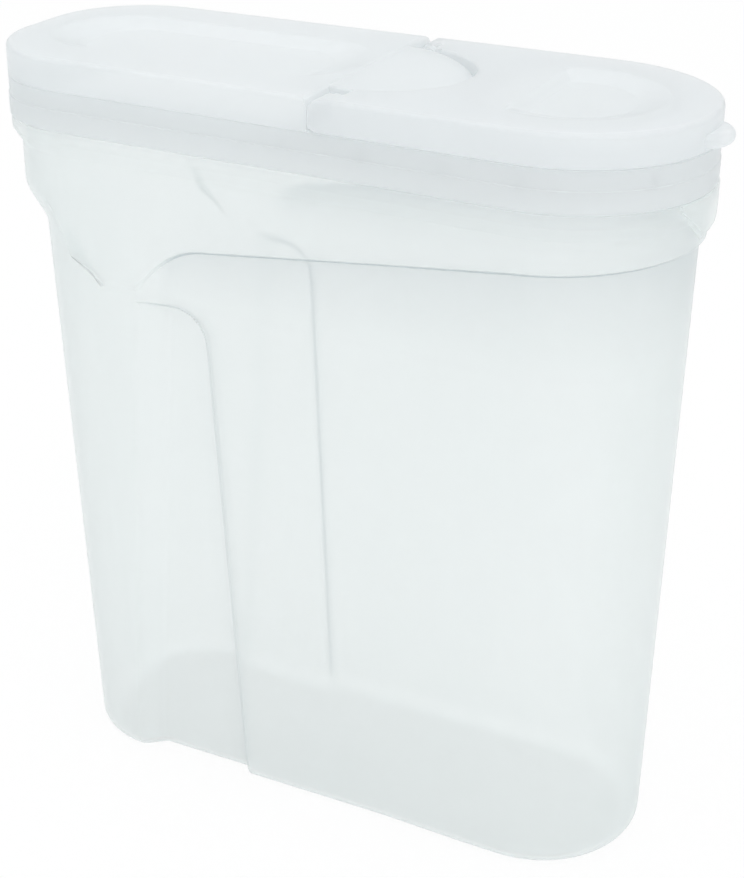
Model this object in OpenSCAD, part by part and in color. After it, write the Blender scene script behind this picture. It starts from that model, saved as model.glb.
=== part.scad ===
// Cereal container with a flip spout: a tall tapered tub, a press-on lid and a hinged flap.
// +X is the pour end, -X the grip end, +Z up. The origin is on the base, under the lid's middle.
// Sizes are in millimetres.

/* [Lid outline] */
// Length of the lid, without the thumb tab
lid_len = 250; // [235:1:265]
// Radius of the lid's rounded pour end, half the width there
front_r = 48; // [44:0.5:52]
// Radius of the lid's two corners at the grip end
rear_r = 36; // [33:0.5:38]
// Distance from the centre line to the centre of each grip-end corner
rear_y = 9; // [7:0.5:12]

/* [Heights] */
// Height of the tub's rim above the surface it stands on
rim_h = 260.7; // [240:0.5:285]
// Height of the lid's top band, which is the flap in front and the deck behind
cap_h = 10.9; // [10:0.1:13]
// Depth of the lid's skirt below its base plate
skirt_drop = 12; // [10:0.5:14]

/* [Walls] */
// Wall of the tub
tub_wall = 1.6; // [1.2:0.1:2]
// Floor of the tub
floor_t = 2; // [1.6:0.1:3]
// Wall of the lid and of the flap
lid_wall = 1.6; // [1.2:0.1:1.8]
// How far the lid's upper bands and the flap stand in from its lowest band
cap_inset = 0.3; // [0.1:0.1:0.5]
// Height of the lid's lowest band
low_band_h = 7.4; // [6:0.2:9]
// Base plate of the lid
plate_t = 1.8; // [1.4:0.1:2.2]

/* [Tub] */
// How far the tub's upper zone stands in from the lid's outline
upper_inset = 2.1; // [1.8:0.1:3]
// How much further the upper zone stands in at the grip end
upper_rear_inset = 1.8; // [0:0.1:2.5]
// How far the lower panel stands in from the lid's outline at the pour end
panel_front_inset = 4.2; // [3.8:0.1:6]
// How far the lower panel stands in from the lid's outline at the grip end
panel_rear_inset = 11.3; // [9:0.1:12.5]
// How far the panel's pour end leans in from its top to the base
front_lean = 2.3; // [0:0.1:6]
// How far the panel's grip end leans in from its top to the base
rear_lean = 11.2; // [6:0.1:14]
// How much the pour end's radius shrinks from the panel's top to the base
front_taper = 5.3; // [3:0.1:7]
// How much the grip end's corner radius shrinks from the panel's top to the base
rear_taper = 2.5; // [1:0.1:4]
// How far the side panel stands in from the nose line, at the base
panel_step = 1.6; // [1:0.1:2.2]
// How far the side panel stands in from the nose line, at the shoulder
panel_step_top = 0.9; // [0.4:0.1:1.6]
// Half the height of the shoulder's step along the sides
shoulder_half = 1.3; // [1:0.1:2]
// How far the flange under the lid stands in from the lid's outline
flange_inset = 0.4; // [0.2:0.1:1]
// Radius of the edge round the base
base_r = 6; // [4:0.5:8]
// Shoulder line below the rim, at the pour end
shoulder_front = 28.5; // [26:0.5:34]
// How far the shoulder line's level part at the pour end lies below that height
shoulder_dip = 1.4; // [1:0.1:2]
// Shoulder line below the rim, at the grip's front edge
shoulder_grip = 46; // [42:0.5:52]
// How far above the recess the overhang's curve starts
shoulder_lift = 10; // [8:0.5:12]
// Distance from the lid's pour end to where the shoulder line runs level
shoulder_end = 27; // [24:0.5:30]
// Radius over which the shoulder line turns level at the pour end
shoulder_turn = 20; // [17:0.5:23]
// Middle of the overhang below the rim, at the grip end
overhang_drop = 42; // [40:0.5:50]
// Height of the overhang's curve at the grip end
overhang_h = 15; // [10:0.5:18]
// Thickness of the flange that the lid's skirt stands on
flange_h = 4; // [3:0.5:5]
// Height of the slope under the flange
flange_slope = 5; // [4:0.5:7]
// Wall of the rim inside the lid
rim_wall = 1.8; // [1.5:0.1:2]

/* [Grip] */
// Depth of the finger recess in each side, below the side panel
grip_depth = 4; // [2.5:0.1:5]
// Top of the finger recess below the rim
grip_top = 68.5; // [66:0.5:76]
// Grip end of the lid to the recess's front edge, at the top of the recess
grip_front_top = 90; // [86:0.5:96]
// Grip end of the lid to the recess's front edge, at the base
grip_front_base = 101.5; // [96:0.5:108]
// Width of the recess's flat floor, at the top
grip_floor = 14; // [12:0.5:18]
// How far the floor's rear end leans back from the recess's top to the base
grip_lean = 13; // [6:1:16]
// Width of the recess's sloping rear wall
grip_ramp = 14; // [10:0.5:16]
// Radius of the recess's top front corner
grip_corner = 12; // [8:0.5:12]

/* [Pull lug] */
// Half the width of the lug under the lid's pour end
lug_half_w = 19; // [15:0.5:22]
// Height of the lug
lug_h = 16; // [14:0.5:20]
// How far the lug stands out past the lid's skirt
lug_out = 0.4; // [0:0.1:1]

/* [Lid] */
// Length of the rear deck, from the lid's grip end to its front edge
deck_len = 132.6; // [132:0.1:133.2]
// Gap between the tub's rim and the lid's skirt
rim_gap = 1.8; // [1.5:0.1:2.2]
// Gap between the rim and the lid's inner seal wall
seal_gap = 0.5; // [0.4:0.05:0.8]
// Wall of the inner seal
seal_wall = 1.4; // [1:0.1:1.8]
// Depth of the inner seal below the base plate
seal_drop = 9; // [6:0.5:10]
// Running gap between parts that rest on each other
seat_gap = 0.3; // [0.3:0.05:0.5]
// Depth of the dish in the rear deck
dish_depth = 3.2; // [2:0.1:3.5]
// Width of the dish's sloping wall at its two ends
dish_slope = 13; // [8:0.5:14]
// Width of the dish's sloping wall along its two sides
dish_side_slope = 6.5; // [5:0.5:9]
// Half the width of the dish
dish_half_w = 24.5; // [22:0.5:26]
// Width of the flat border between the dish and the lid's grip end
dish_border = 12; // [10:0.5:16]
// Distance from the deck's front edge to the dish
dish_front_gap = 4; // [3.5:0.5:9]
// Radius of the tongue that reaches forward from the deck
tongue_r = 30; // [27:0.5:30.5]
// Length of the tongue in front of the deck
tongue_len = 34; // [33:0.5:38]
// How far the tongue's top falls from the deck to its tip
tongue_fall = 5; // [3:0.1:6]
// Size of one snap rib inside the skirt, along the wall
rib_w = 4; // [3:0.5:6]
// Height of a snap rib
rib_h = 5; // [4:0.5:6]
// Distance between snap ribs along the side
rib_pitch = 27.5; // [24:0.5:32]

/* [Spout] */
// Radius of the pour opening
spout_r = 35; // [32:0.5:36]
// Distance from the tongue's tip to the pour opening's straight edge
spout_back_gap = 8.9; // [5.5:0.1:9.5]
// Height of the lip round the pour opening
lip_h = 4; // [3:0.5:4.5]
// Wall of the lip
lip_wall = 1.4; // [1:0.1:1.8]
// Gap between the pour opening and the flap's plug
plug_gap = 0.6; // [0.5:0.05:0.9]

/* [Flap] */
// Depth of the D-shaped dish in the flap's top
flap_dish_depth = 2.5; // [2:0.1:3.5]
// Outer radius of the flap's dish
flap_dish_r = 31; // [28:0.5:31.5]
// Width of the flap dish's sloping wall
flap_dish_slope = 9.5; // [6:0.5:12]
// Width of the sloping wall at the flap dish's straight edge
flap_dish_back_slope = 4.5; // [3:0.5:9]
// Pour opening's straight edge to the flap dish's straight edge
flap_dish_back = 15; // [13:0.5:19]
// How far the flap opens, in degrees
open_angle = 105; // [80:1:110]
// Radius of the flap's rounded rear edge, round the hinge axis
barrel_r = 4.2; // [4:0.1:4.4]
// Radius of the hinge pins
pin_r = 1.5; // [1.2:0.05:1.7]
// Running clearance round each hinge pin
pin_gap = 0.08; // [0.05:0.01:0.1]
// Radius of the lid's hinge knuckles
knuckle_r = 3.2; // [3:0.1:3.4]
// Width of each hinge knuckle
knuckle_w = 4.2; // [3:0.1:5]
// Thumb tab: how far its tip stands out past the lid
tab_out = 5; // [3:0.5:7]
// Thumb tab: radius of its rounded outline
tab_r = 12; // [10:0.5:14]
// Thumb tab: thickness
tab_t = 4.8; // [4:0.1:5.4]

/* [Hidden] */

big = 400;
eps = 0.01;
arc_fn = 128;
// The outline's straight sides lie this far inside its circles, so that they cross them cleanly.
flat_in = 0.02;

// Heights worked out from the rim upwards and downwards.
plate_z = rim_h + seat_gap;
plate_top = plate_z + plate_t;
top_z = plate_top + cap_h;
skirt_z = plate_z - skirt_drop;
flange_top = skirt_z - seat_gap;
flange_z = flange_top - flange_h;
upper_z = flange_z - flange_slope;
skirt_mid_z = skirt_z + low_band_h;

// The lid's outline: one pour-end circle and two grip-end corner circles.
front_x = lid_len / 2 - front_r;
rear_x = -lid_len / 2 + rear_r;
rim_inset = lid_wall + rim_gap;
seal_inset = rim_inset + rim_wall + seal_gap;
cavity_inset = seal_inset + seal_wall;

// The hinge axis runs along Y at this X and Z.
deck_x = -lid_len / 2 + deck_len;
hinge_gap = 0.4;
hinge_x = deck_x + hinge_gap + barrel_r;
hinge_z = top_z - barrel_r;
part_gap = 0.5;
tongue_cx = deck_x + tongue_len - tongue_r;
knuckle_y = tongue_r + part_gap + lid_wall + 1.3;
pin_tip_y = knuckle_y - 0.4;
barrel_y = knuckle_y + knuckle_w + part_gap;
notch_x = hinge_x + barrel_r;
window_y = tongue_r + part_gap;
spout_back_x = deck_x + tongue_len + spout_back_gap;
plug_r = spout_r - plug_gap;
plug_back_x = spout_back_x + plug_gap;

// Angle of the outward normal of a straight side that touches both end circles.
function side_angle(fx, rf, rx, ry, rc) =
    let (d = norm([rx - fx, ry]))
    atan2(ry, rx - fx) - acos((rf - rc) / d);

function polar(r, a) = [r * cos(a), r * sin(a)];
function mix2(a, b, t) = a + (b - a) * t;
function smooth(t) = t * t * (3 - 2 * t);
function clamp01(t) = max(0, min(1, t));

// Flat outline of the lid, drawn in by an inset.
module outline(inset) {
    rf = front_r - inset;
    rc = rear_r - inset;
    a = side_angle(front_x, rf, rear_x, rear_y, rc);
    f = [front_x, 0];
    c = [rear_x, rear_y];
    m = [rear_x, -rear_y];
    translate(f) circle(r = rf, $fn = arc_fn);
    translate(c) circle(r = rc, $fn = arc_fn);
    translate(m) circle(r = rc, $fn = arc_fn);
    polygon([
        f + polar(rf - flat_in, a),
        c + polar(rc - flat_in, a),
        c - [rc - flat_in, 0],
        m - [rc - flat_in, 0],
        m + polar(rc - flat_in, -a),
        f + polar(rf - flat_in, -a)
    ]);
}

module ring(z0, z1, outer, inner) {
    translate([0, 0, z0]) linear_extrude(height = z1 - z0) difference() {
        outline(outer);
        outline(inner);
    }
}

// A half space in front of x0, or behind it.
module ahead(x0) {
    translate([x0, -big / 2, -big / 2]) cube([big, big, 2 * big]);
}

module along_y(y0, y1, r) {
    translate([0, y1, 0]) rotate([90, 0, 0]) cylinder(h = y1 - y0, r = r, $fn = 64);
}

module at_hinge() {
    translate([hinge_x, 0, hinge_z]) children();
}

module both_sides() {
    children();
    mirror([0, 1, 0]) children();
}

// Tub. Its outer and inner skins are one closed loft: a ring of points a height, and a column of
// points a place on the outline. Columns follow the grip recess, rings the shoulder line.

front_steps = 9;
corner_steps = 8;
step_half = 0.7;
panel_h = rim_h - shoulder_front;
grip_z = rim_h - grip_top;
overhang_z = rim_h - overhang_drop;

// Pour-end circle and grip-end corner circle of the lower panel at a height.
function up_share(z) = clamp01(z / panel_h);
function low_fr(z) = front_r - 3.8 - front_taper * (1 - up_share(z));
function low_fx(z) =
    lid_len / 2 - panel_front_inset - front_lean * (1 - up_share(z)) - low_fr(z);
function low_rr(z) = rear_r - 2 - rear_taper * (1 - up_share(z));
function low_rx(z) =
    -lid_len / 2 + panel_rear_inset + rear_lean * (1 - up_share(z)) + low_rr(z);

// X of the recess's front edge, of the end of its floor and of the end of its ramp.
function grip_share(z) = clamp01(z / grip_z);
function grip_x(z) = -lid_len / 2 + mix2(grip_front_base, grip_front_top, grip_share(z));
function floor_x(z) =
    -lid_len / 2 + grip_front_top - grip_floor - grip_lean * (1 - grip_share(z));
function ramp_x(z) = floor_x(z) - mix2(grip_ramp - 4, grip_ramp, grip_share(z));

// X of each column along one side, from the pour end to the grip end. The inner skin's step is
// moved forward, so that the wall keeps its thickness there.
function side_xs(z, wall) =
    let (
        f = low_fx(z),
        g = grip_x(z) + 0.8 * wall,
        n = floor_x(z),
        p = ramp_x(z),
        c = low_rx(z)
    )
    [
        mix2(f, g, 0.2),
        mix2(f, g, 0.48),
        mix2(f, g, 0.78),
        g + step_half,
        g - step_half,
        mix2(g - step_half, n, 0.45),
        mix2(g - step_half, n, 0.8),
        n,
        mix2(n, p, 0.5),
        p,
        mix2(p, c, 0.5)
    ];

side_count = 11;
panel_share = [0.6, 0.85, 1, 1, 1, 1, 1, 1, 0.5, 0, 0];
recess_share = [0, 0, 0, 0, 1, 1, 1, 1, 0.5, 0, 0];
corner_drop = [1, 1, 1, 1, 0.67, 0.14, 0.02, 0, 0, 0, 0];

// Height of the shoulder line at an X.
shoulder_slope = (shoulder_grip - shoulder_front - shoulder_dip)
    / (lid_len - grip_front_top - shoulder_end);
function shoulder_z(x) =
    let (back = max(0, grip_front_top - lid_len / 2 - x))
    max(
        rim_h - shoulder_grip + shoulder_slope * (x - grip_front_top + lid_len / 2)
            - 0.022 * back * back,
        grip_z + 5
    );

// A column's place: [low x, low y, high x, high y] at a height, for one half of the outline.
function column(i, z, cut, inset) =
    i <= front_steps ? front_column(i, z, inset)
        : i <= front_steps + side_count ? side_column(i - front_steps - 1, z, cut, inset)
        : rear_column((i - front_steps - side_count - 1) / corner_steps, z, inset);

function front_column(i, z, inset) =
    let (a = 88 * i / front_steps)
    concat(
        [low_fx(z), 0] + polar(low_fr(z) - inset, a),
        [front_x, 0] + polar(front_r - upper_inset - inset, a)
    );

function side_column(i, z, cut, inset) =
    let (
        x = side_xs(z, inset)[i],
        t = (x - low_fx(z)) / (low_rx(z) - low_fx(z)),
        u = (x - front_x) / (rear_x - front_x),
        low = mix2(low_fr(z), low_rr(z) + rear_y, t),
        high = mix2(front_r, rear_r + rear_y, u) - upper_inset,
        step = panel_share[i] * mix2(panel_step, panel_step_top, up_share(z))
    )
    [x, low - inset - step - cut * recess_share[i] * grip_depth, x, high - inset];

// The upper zone's extra inset at the grip end runs out to nothing up the slope under the flange.
function rear_shift(z) = upper_rear_inset * clamp01((flange_z - 0.5 - z) / (flange_slope - 0.5));

function rear_column(t, z, inset) =
    let (a = 91 + 89 * t)
    concat(
        [low_rx(z), rear_y] + polar(low_rr(z) - inset, a),
        [rear_x + rear_shift(z), rear_y] + polar(rear_r - upper_inset - inset, a)
    );

column_count = front_steps + 1 + side_count + corner_steps + 1;

// A full ring. zs holds each column's height; up is 0 on the lower panel, 1 on the upper zone.
function half_ring(zs, up, cut, inset) = [
    for (i = [0 : column_count - 1])
        let (
            q = column(i, zs[i], cut, inset),
            p = mix2([q[0], q[1]], [q[2], q[3]], up)
        )
        [p.x, i == 0 ? 0 : p.y, zs[i]]
];
function full_ring(zs, up, cut, inset) =
    let (h = half_ring(zs, up, cut, inset))
    concat(h, [for (i = [column_count - 1 : -1 : 1]) [h[i].x, -h[i].y, h[i].z]]);

function level(z) = [for (i = [1 : column_count]) z];

// Heights for the two rings at the recess's top.
function recess_line(dz) = [
    for (i = [0 : column_count - 1])
        let (k = i - front_steps - 1)
        grip_z + dz - grip_corner * (k < 0 ? 1 : k < side_count ? corner_drop[k] : 0)
];

// Heights for one ring of the shoulder, from its lower edge at t = 0 to its upper one at t = 1.
function shoulder_line(t, dz) = [
    for (i = [0 : column_count - 1])
        let (
            k = i - front_steps - 1,
            r = clamp01((k - side_count) / corner_steps / 0.25),
            x = k < 0
                ? front_x + shoulder_turn * cos(90 * i / front_steps)
                : side_xs(grip_z, 0)[min(k, 10)],
            side = k < 0 ? shoulder_z(min(x, lid_len / 2 - shoulder_end)) : shoulder_z(x),
            mid = k < side_count ? side : mix2(grip_z + shoulder_lift, overhang_z, sin(90 * r)),
            spread = k < side_count ? shoulder_half : mix2(2, overhang_h / 2, sin(90 * r))
        )
        mid + dz + spread * (2 * t - 1)
];

shoulder_steps = [0, 0.25, 0.5, 0.75, 1];
roll_steps = [0, 22.5, 45, 67.5, 90];

// The rings of one skin, from the base up. The inner skin starts on the floor.
function skin(wall, floor_z) =
    let (r = base_r - wall)
    concat(
        [for (a = roll_steps)
            full_ring(level(floor_z + r * (1 - cos(a))), 0, 1, wall + r * (1 - sin(a)))],
        [for (t = [0.3, 0.62]) full_ring(level(mix2(base_r, grip_z - grip_corner, t)), 0, 1, wall)],
        [full_ring(level(grip_z - grip_corner - 3), 0, 1, wall)],
        [full_ring(recess_line(0.8 * wall - step_half), 0, 1, wall)],
        [full_ring(recess_line(0.8 * wall + step_half), 0, 0, wall)],
        [for (t = shoulder_steps) full_ring(shoulder_line(t, 0.5 * wall), smooth(t), 0, wall)]
    );

tub_rings = concat(
    skin(0, 0),
    [full_ring(level(upper_z), 1, 0, 0)],
    [full_ring(level(flange_z), 1, 0, flange_inset - upper_inset)],
    [full_ring(level(flange_top), 1, 0, flange_inset - upper_inset)],
    [full_ring(level(flange_top), 1, 0, rim_inset + rim_wall + 0.1 - upper_inset)],
    [full_ring(level(flange_z - 0.5), 1, 0, rim_inset + rim_wall + 0.1 - upper_inset)],
    [full_ring(level(upper_z), 1, 0, tub_wall)],
    reverse(skin(tub_wall, floor_t))
);

function reverse(list) = [for (i = [len(list) - 1 : -1 : 0]) list[i]];
function flat(list) = [for (a = list) for (b = a) b];

module loft(rings) {
    n = len(rings[0]);
    m = len(rings);
    walls = [
        for (j = [0 : m - 2]) for (i = [0 : n - 1])
            let (k = (i + 1) % n)
            for (f = [
                [j * n + i, (j + 1) * n + k, j * n + k],
                [j * n + i, (j + 1) * n + i, (j + 1) * n + k]
            ]) f
    ];
    base = [for (i = [0 : n - 1]) i];
    top = [for (i = [n - 1 : -1 : 0]) (m - 1) * n + i];
    polyhedron(points = flat(rings), faces = concat([base], walls, [top]), convexity = 8);
}

module tub_rim() {
    ring(flange_top - 1, rim_h, rim_inset, rim_inset + rim_wall);
}

module pull_lug() {
    cone_h = 10;
    tip_r = 4;
    slope = 38.66;
    low_z = flange_top - lug_h;
    side_z = low_z + tip_r - tip_r * cos(slope) + (lug_half_w - tip_r * sin(slope)) * tan(slope);
    intersection() {
        translate([front_x, 0, 0]) rotate([90, 0, 90]) linear_extrude(height = front_r + 10) {
            translate([0, low_z + tip_r]) circle(r = tip_r, $fn = 48);
            polygon([
                [0, low_z + tip_r],
                [tip_r * sin(slope), low_z + tip_r - tip_r * cos(slope)],
                [lug_half_w, side_z],
                [lug_half_w, flange_top],
                [-lug_half_w, flange_top],
                [-lug_half_w, side_z],
                [-tip_r * sin(slope), low_z + tip_r - tip_r * cos(slope)]
            ]);
        }
        translate([front_x, 0, 0]) difference() {
            union() {
                translate([0, 0, low_z + 4]) cylinder(h = lug_h, r = front_r + lug_out, $fn = arc_fn);
                translate([0, 0, low_z - 6])
                    cylinder(h = cone_h, r1 = front_r - 7, r2 = front_r + lug_out, $fn = arc_fn);
            }
            translate([0, 0, low_z - cone_h])
                cylinder(h = big, r = front_r - upper_inset - tub_wall / 2, $fn = arc_fn);
        }
    }
}

module container_body() {
    color([0.89, 0.94, 0.94, 0.6]) union() {
        loft(tub_rings);
        tub_rim();
        pull_lug();
    }
}

// Lid.

// Flat outline of the tongue, drawn in by an inset.
module tongue_outline(inset) {
    intersection() {
        union() {
            translate([tongue_cx, 0]) circle(r = tongue_r - inset, $fn = arc_fn);
            translate([deck_x - 4, inset - tongue_r + flat_in])
                square([tongue_cx - deck_x + 4, 2 * (tongue_r - inset - flat_in)]);
        }
        translate([deck_x - lid_wall / 2, -big / 2]) square(big);
    }
}

// Everything under a plane that falls from the deck's front edge to the tongue's tip.
module under_fall(drop) {
    a = atan(tongue_fall / tongue_len);
    translate([deck_x, -big / 2, top_z - drop]) rotate([0, a, 0])
        translate([-big / 2, 0, -big]) cube([big, big, big]);
}

// Flat outline of the pour opening, drawn in by an inset.
module spout_outline(inset) {
    intersection() {
        translate([front_x, 0]) circle(r = spout_r - inset, $fn = arc_fn);
        translate([spout_back_x + inset, -big / 2]) square(big);
    }
}

// Rounded rectangle of the deck's dish, drawn in by one inset at the ends and one at the sides.
module dish_outline(end, side) {
    x0 = -lid_len / 2 + dish_border + end;
    x1 = deck_x - dish_front_gap - end;
    y = dish_half_w - side;
    r = y - 3.5;
    hull() both_flat() {
        translate([x0 + r, y - r]) circle(r = r, $fn = 32);
        translate([x1 - r, y - r]) circle(r = r, $fn = 32);
    }
}

module both_flat() {
    children();
    mirror([0, 1]) children();
}

// The deck's dish as a solid; grow makes it larger by the plate's thickness.
module deck_dish(grow) {
    hull() {
        translate([0, 0, top_z - grow / 2]) linear_extrude(height = 0.01) dish_outline(-grow, -grow);
        translate([0, 0, top_z - dish_depth - grow])
            linear_extrude(height = 0.01) dish_outline(dish_slope - grow, dish_side_slope - grow);
    }
}

module deck_block(inset, z0, z1) {
    translate([0, 0, z0]) linear_extrude(height = z1 - z0) intersection() {
        outline(cap_inset + inset);
        translate([deck_x - inset - big, -big / 2]) square(big);
    }
}

module deck() {
    difference() {
        union() {
            difference() {
                deck_block(0, plate_top - eps, top_z);
                deck_block(lid_wall, plate_top - 1, top_z - lid_wall);
            }
            deck_dish(lid_wall);
        }
        deck_dish(0);
        deck_front_slope();
        groove();
    }
}

// X of the open flap's back, less its running gap, at a height above the hinge axis.
function lean_x(h) =
    hinge_x - (barrel_r + seat_gap + h * sin(open_angle - 90)) / cos(open_angle - 90);

// Slope on the deck's front edge, which the open flap leans past.
module deck_front_slope() {
    both_sides() translate([0, tongue_r + eps, 0]) rotate([90, 0, 180])
        linear_extrude(height = big / 2) mirror([1, 0]) polygon([
            [lean_x(-1), hinge_z - 1],
            [lean_x(barrel_r), top_z],
            [lean_x(barrel_r), top_z + 5],
            [deck_x + 5, top_z + 5],
            [deck_x + 5, hinge_z - 1]
        ]);
}

// Line along the deck's foot that carries the gap under the flap on round the grip end.
module groove() {
    difference() {
        translate([0, 0, plate_top]) linear_extrude(height = 0.5) difference() {
            outline(-1);
            outline(cap_inset + 0.4);
        }
        ahead(deck_x - 0.2);
    }
}

module tongue() {
    intersection() {
        union() {
            translate([0, 0, plate_top - eps]) linear_extrude(height = cap_h) difference() {
                tongue_outline(0);
                tongue_outline(lid_wall);
            }
            difference() {
                translate([0, 0, plate_top - eps]) linear_extrude(height = cap_h) tongue_outline(0);
                under_fall(lid_wall);
            }
        }
        under_fall(0);
    }
}

// Knuckle with its foot on the base plate, bored for the flap's pin.
module knuckle() {
    difference() {
        at_hinge() union() {
            along_y(knuckle_y, knuckle_y + knuckle_w, knuckle_r);
            translate([-knuckle_r, knuckle_y, plate_top - hinge_z - 0.5])
                cube([2 * knuckle_r, knuckle_w, hinge_z - plate_top + 0.5]);
        }
        at_hinge() along_y(knuckle_y - 1, knuckle_y + knuckle_w + 1, pin_r + pin_gap);
    }
}

// Base plate: the ledge on the rim, closed in front except for the pour opening.
module base_plate() {
    translate([0, 0, plate_z]) linear_extrude(height = plate_t) difference() {
        outline(cap_inset);
        intersection() {
            outline(cavity_inset + 1.5);
            translate([deck_x - 9.5 - big, -big / 2]) square(big);
        }
        tongue_outline(lid_wall + 1);
        spout_outline(0);
    }
}

module spout_lip() {
    translate([0, 0, plate_z]) linear_extrude(height = plate_t + lip_h) difference() {
        spout_outline(-lip_wall);
        spout_outline(0);
    }
}

// Ribs that snap under the tub's rim: three places along each side, and one on each front curve.
module snap_rib() {
    translate([-rib_w / 2, -rim_inset + seat_gap, 0])
        cube([rib_w, rim_inset - seat_gap - lid_wall / 2, rib_h]);
}

module snap_ribs() {
    low = plate_z - rib_h - 1;
    lean = atan((front_r - rear_r - rear_y) / (front_x - rear_x));
    both_sides() translate([front_x, 0, low]) {
        for (i = [0 : 2])
            rotate([0, 0, lean]) translate([2.5 - rib_pitch * i, front_r, 0]) snap_rib();
        rotate([0, 0, -53]) translate([0, front_r, 0]) snap_rib();
    }
    both_sides() translate([front_x, 0, low])
        rotate([0, 0, lean]) translate([2.5 - rib_pitch * 3, front_r, 0]) snap_rib();
}

module lid() {
    color([0.9, 0.95, 0.95, 0.6]) union() {
        ring(skirt_z, skirt_mid_z, 0, lid_wall);
        ring(skirt_mid_z - eps, plate_top, cap_inset, lid_wall);
        ring(plate_z - seal_drop, plate_z + 0.5, seal_inset, cavity_inset);
        snap_ribs();
        base_plate();
        spout_lip();
        deck();
        tongue();
        both_sides() knuckle();
    }
}

// Flap. It covers the lid in front of the deck, all round the tongue.

module flap_outline(inset) {
    difference() {
        intersection() {
            outline(cap_inset + inset);
            translate([deck_x + hinge_gap, -big / 2]) square(big);
        }
        tongue_outline(-part_gap - inset);
        translate([tongue_cx, -window_y - inset])
            square([notch_x + 2.5 + inset - tongue_cx, 2 * (window_y + inset)]);
        translate([0, -barrel_y]) square([notch_x + inset, 2 * barrel_y]);
    }
}

// D-shaped outline of the flap's dish, drawn in by an inset.
module flap_dish_outline(inset, back) {
    intersection() {
        translate([front_x, 0]) circle(r = flap_dish_r - inset, $fn = 32);
        translate([spout_back_x + flap_dish_back + back, -big / 2]) square(big);
    }
}

module flap_dish(grow) {
    hull() {
        translate([0, 0, top_z - grow]) linear_extrude(height = 1)
            flap_dish_outline(-grow, -grow);
        translate([0, 0, top_z - flap_dish_depth - grow]) linear_extrude(height = 1)
            flap_dish_outline(flap_dish_slope - grow, flap_dish_back_slope - grow);
    }
}

// Keeps only what clears the deck and the base plate while the flap turns.
module rear_keep() {
    ahead(hinge_x);
    at_hinge() intersection() {
        along_y(-big / 2, big / 2, hinge_z - plate_top - seat_gap);
        translate([-barrel_r, -big / 2, -big]) cube([big, big, big]);
    }
    at_hinge() along_y(-big / 2, big / 2, barrel_r);
}

module thumb_tab() {
    edge = tab_t / 2;
    difference() {
        translate([lid_len / 2 + tab_out - tab_r, 0, top_z - cap_h / 2 - 2 - edge])
            rotate_extrude($fn = 64) {
                square([tab_r - edge, tab_t]);
                intersection() {
                    translate([tab_r - edge, edge]) circle(r = edge, $fn = 32);
                    square([tab_r, tab_t]);
                }
            }
        translate([0, 0, skirt_z])
            linear_extrude(height = top_z - skirt_z) outline(cap_inset + lid_wall / 2);
    }
}

module hinge_pin() {
    at_hinge() {
        along_y(pin_tip_y, barrel_y + 2, pin_r);
        along_y(barrel_y, front_r - cap_inset - 2.2, barrel_r - 0.6);
    }
}

module flap_shell() {
    low = plate_top + seat_gap;
    translate([0, 0, low]) linear_extrude(height = top_z - low) difference() {
        flap_outline(0);
        flap_outline(lid_wall);
    }
    translate([0, 0, top_z - lid_wall]) linear_extrude(height = lid_wall) flap_outline(0);
    flap_dish(lid_wall);
}

module plug() {
    translate([0, 0, plate_top - 0.6]) linear_extrude(height = cap_h + 0.6 - lid_wall / 2)
        difference() {
            spout_outline(plug_gap);
            spout_outline(plug_gap + lid_wall);
        }
}

module spout_flap() {
    color([0.91, 0.96, 0.96, 0.6]) difference() {
        union() {
            intersection() {
                flap_shell();
                rear_keep();
            }
            plug();
            thumb_tab();
            both_sides() hinge_pin();
        }
        flap_dish(0);
    }
}

container_body();
lid();
spout_flap();
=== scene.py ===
"""Studio picture of a tall cereal container with a press-on lid and a flip spout.

Sizes inside the classes are in millimetres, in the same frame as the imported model.
"""

from __future__ import annotations

import logging
import math
from dataclasses import dataclass, field
from enum import Enum

import bpy
import bmesh
import numpy as np
from mathutils import Matrix, Vector


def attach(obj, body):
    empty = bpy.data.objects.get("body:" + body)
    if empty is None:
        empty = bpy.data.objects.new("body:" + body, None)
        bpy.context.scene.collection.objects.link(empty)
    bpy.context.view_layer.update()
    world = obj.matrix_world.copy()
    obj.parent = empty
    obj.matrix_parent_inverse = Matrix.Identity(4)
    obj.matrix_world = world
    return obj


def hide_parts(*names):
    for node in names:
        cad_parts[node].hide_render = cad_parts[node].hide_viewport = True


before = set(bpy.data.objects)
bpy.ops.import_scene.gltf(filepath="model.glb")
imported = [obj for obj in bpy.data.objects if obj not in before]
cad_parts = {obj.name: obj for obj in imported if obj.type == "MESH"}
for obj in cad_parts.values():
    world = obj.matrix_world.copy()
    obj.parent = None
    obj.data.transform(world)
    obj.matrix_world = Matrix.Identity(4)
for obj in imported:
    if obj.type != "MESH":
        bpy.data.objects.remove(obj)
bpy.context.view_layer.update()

log = logging.getLogger("container")

MM = 0.001
# Points closer than this are one point, in millimetres.
MERGE = 0.0005

# One number, or an array of them.
Number = float | np.ndarray


def mix(a: Number, b: Number, t: Number) -> Number:
    """Blend from a to b as t goes from 0 to 1."""
    return a + (b - a) * t


def clamp01(t: Number) -> Number:
    """Hold a value between 0 and 1."""
    return np.clip(t, 0.0, 1.0)


def smooth(t: Number) -> Number:
    """Ease a share from 0 to 1, flat at both ends."""
    t = clamp01(t)
    return t * t * (3.0 - 2.0 * t)


class Zone(Enum):
    """The two skins of a moulded wall."""

    OUTSIDE = "outside"
    INSIDE = "inside"


# Finishes


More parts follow.
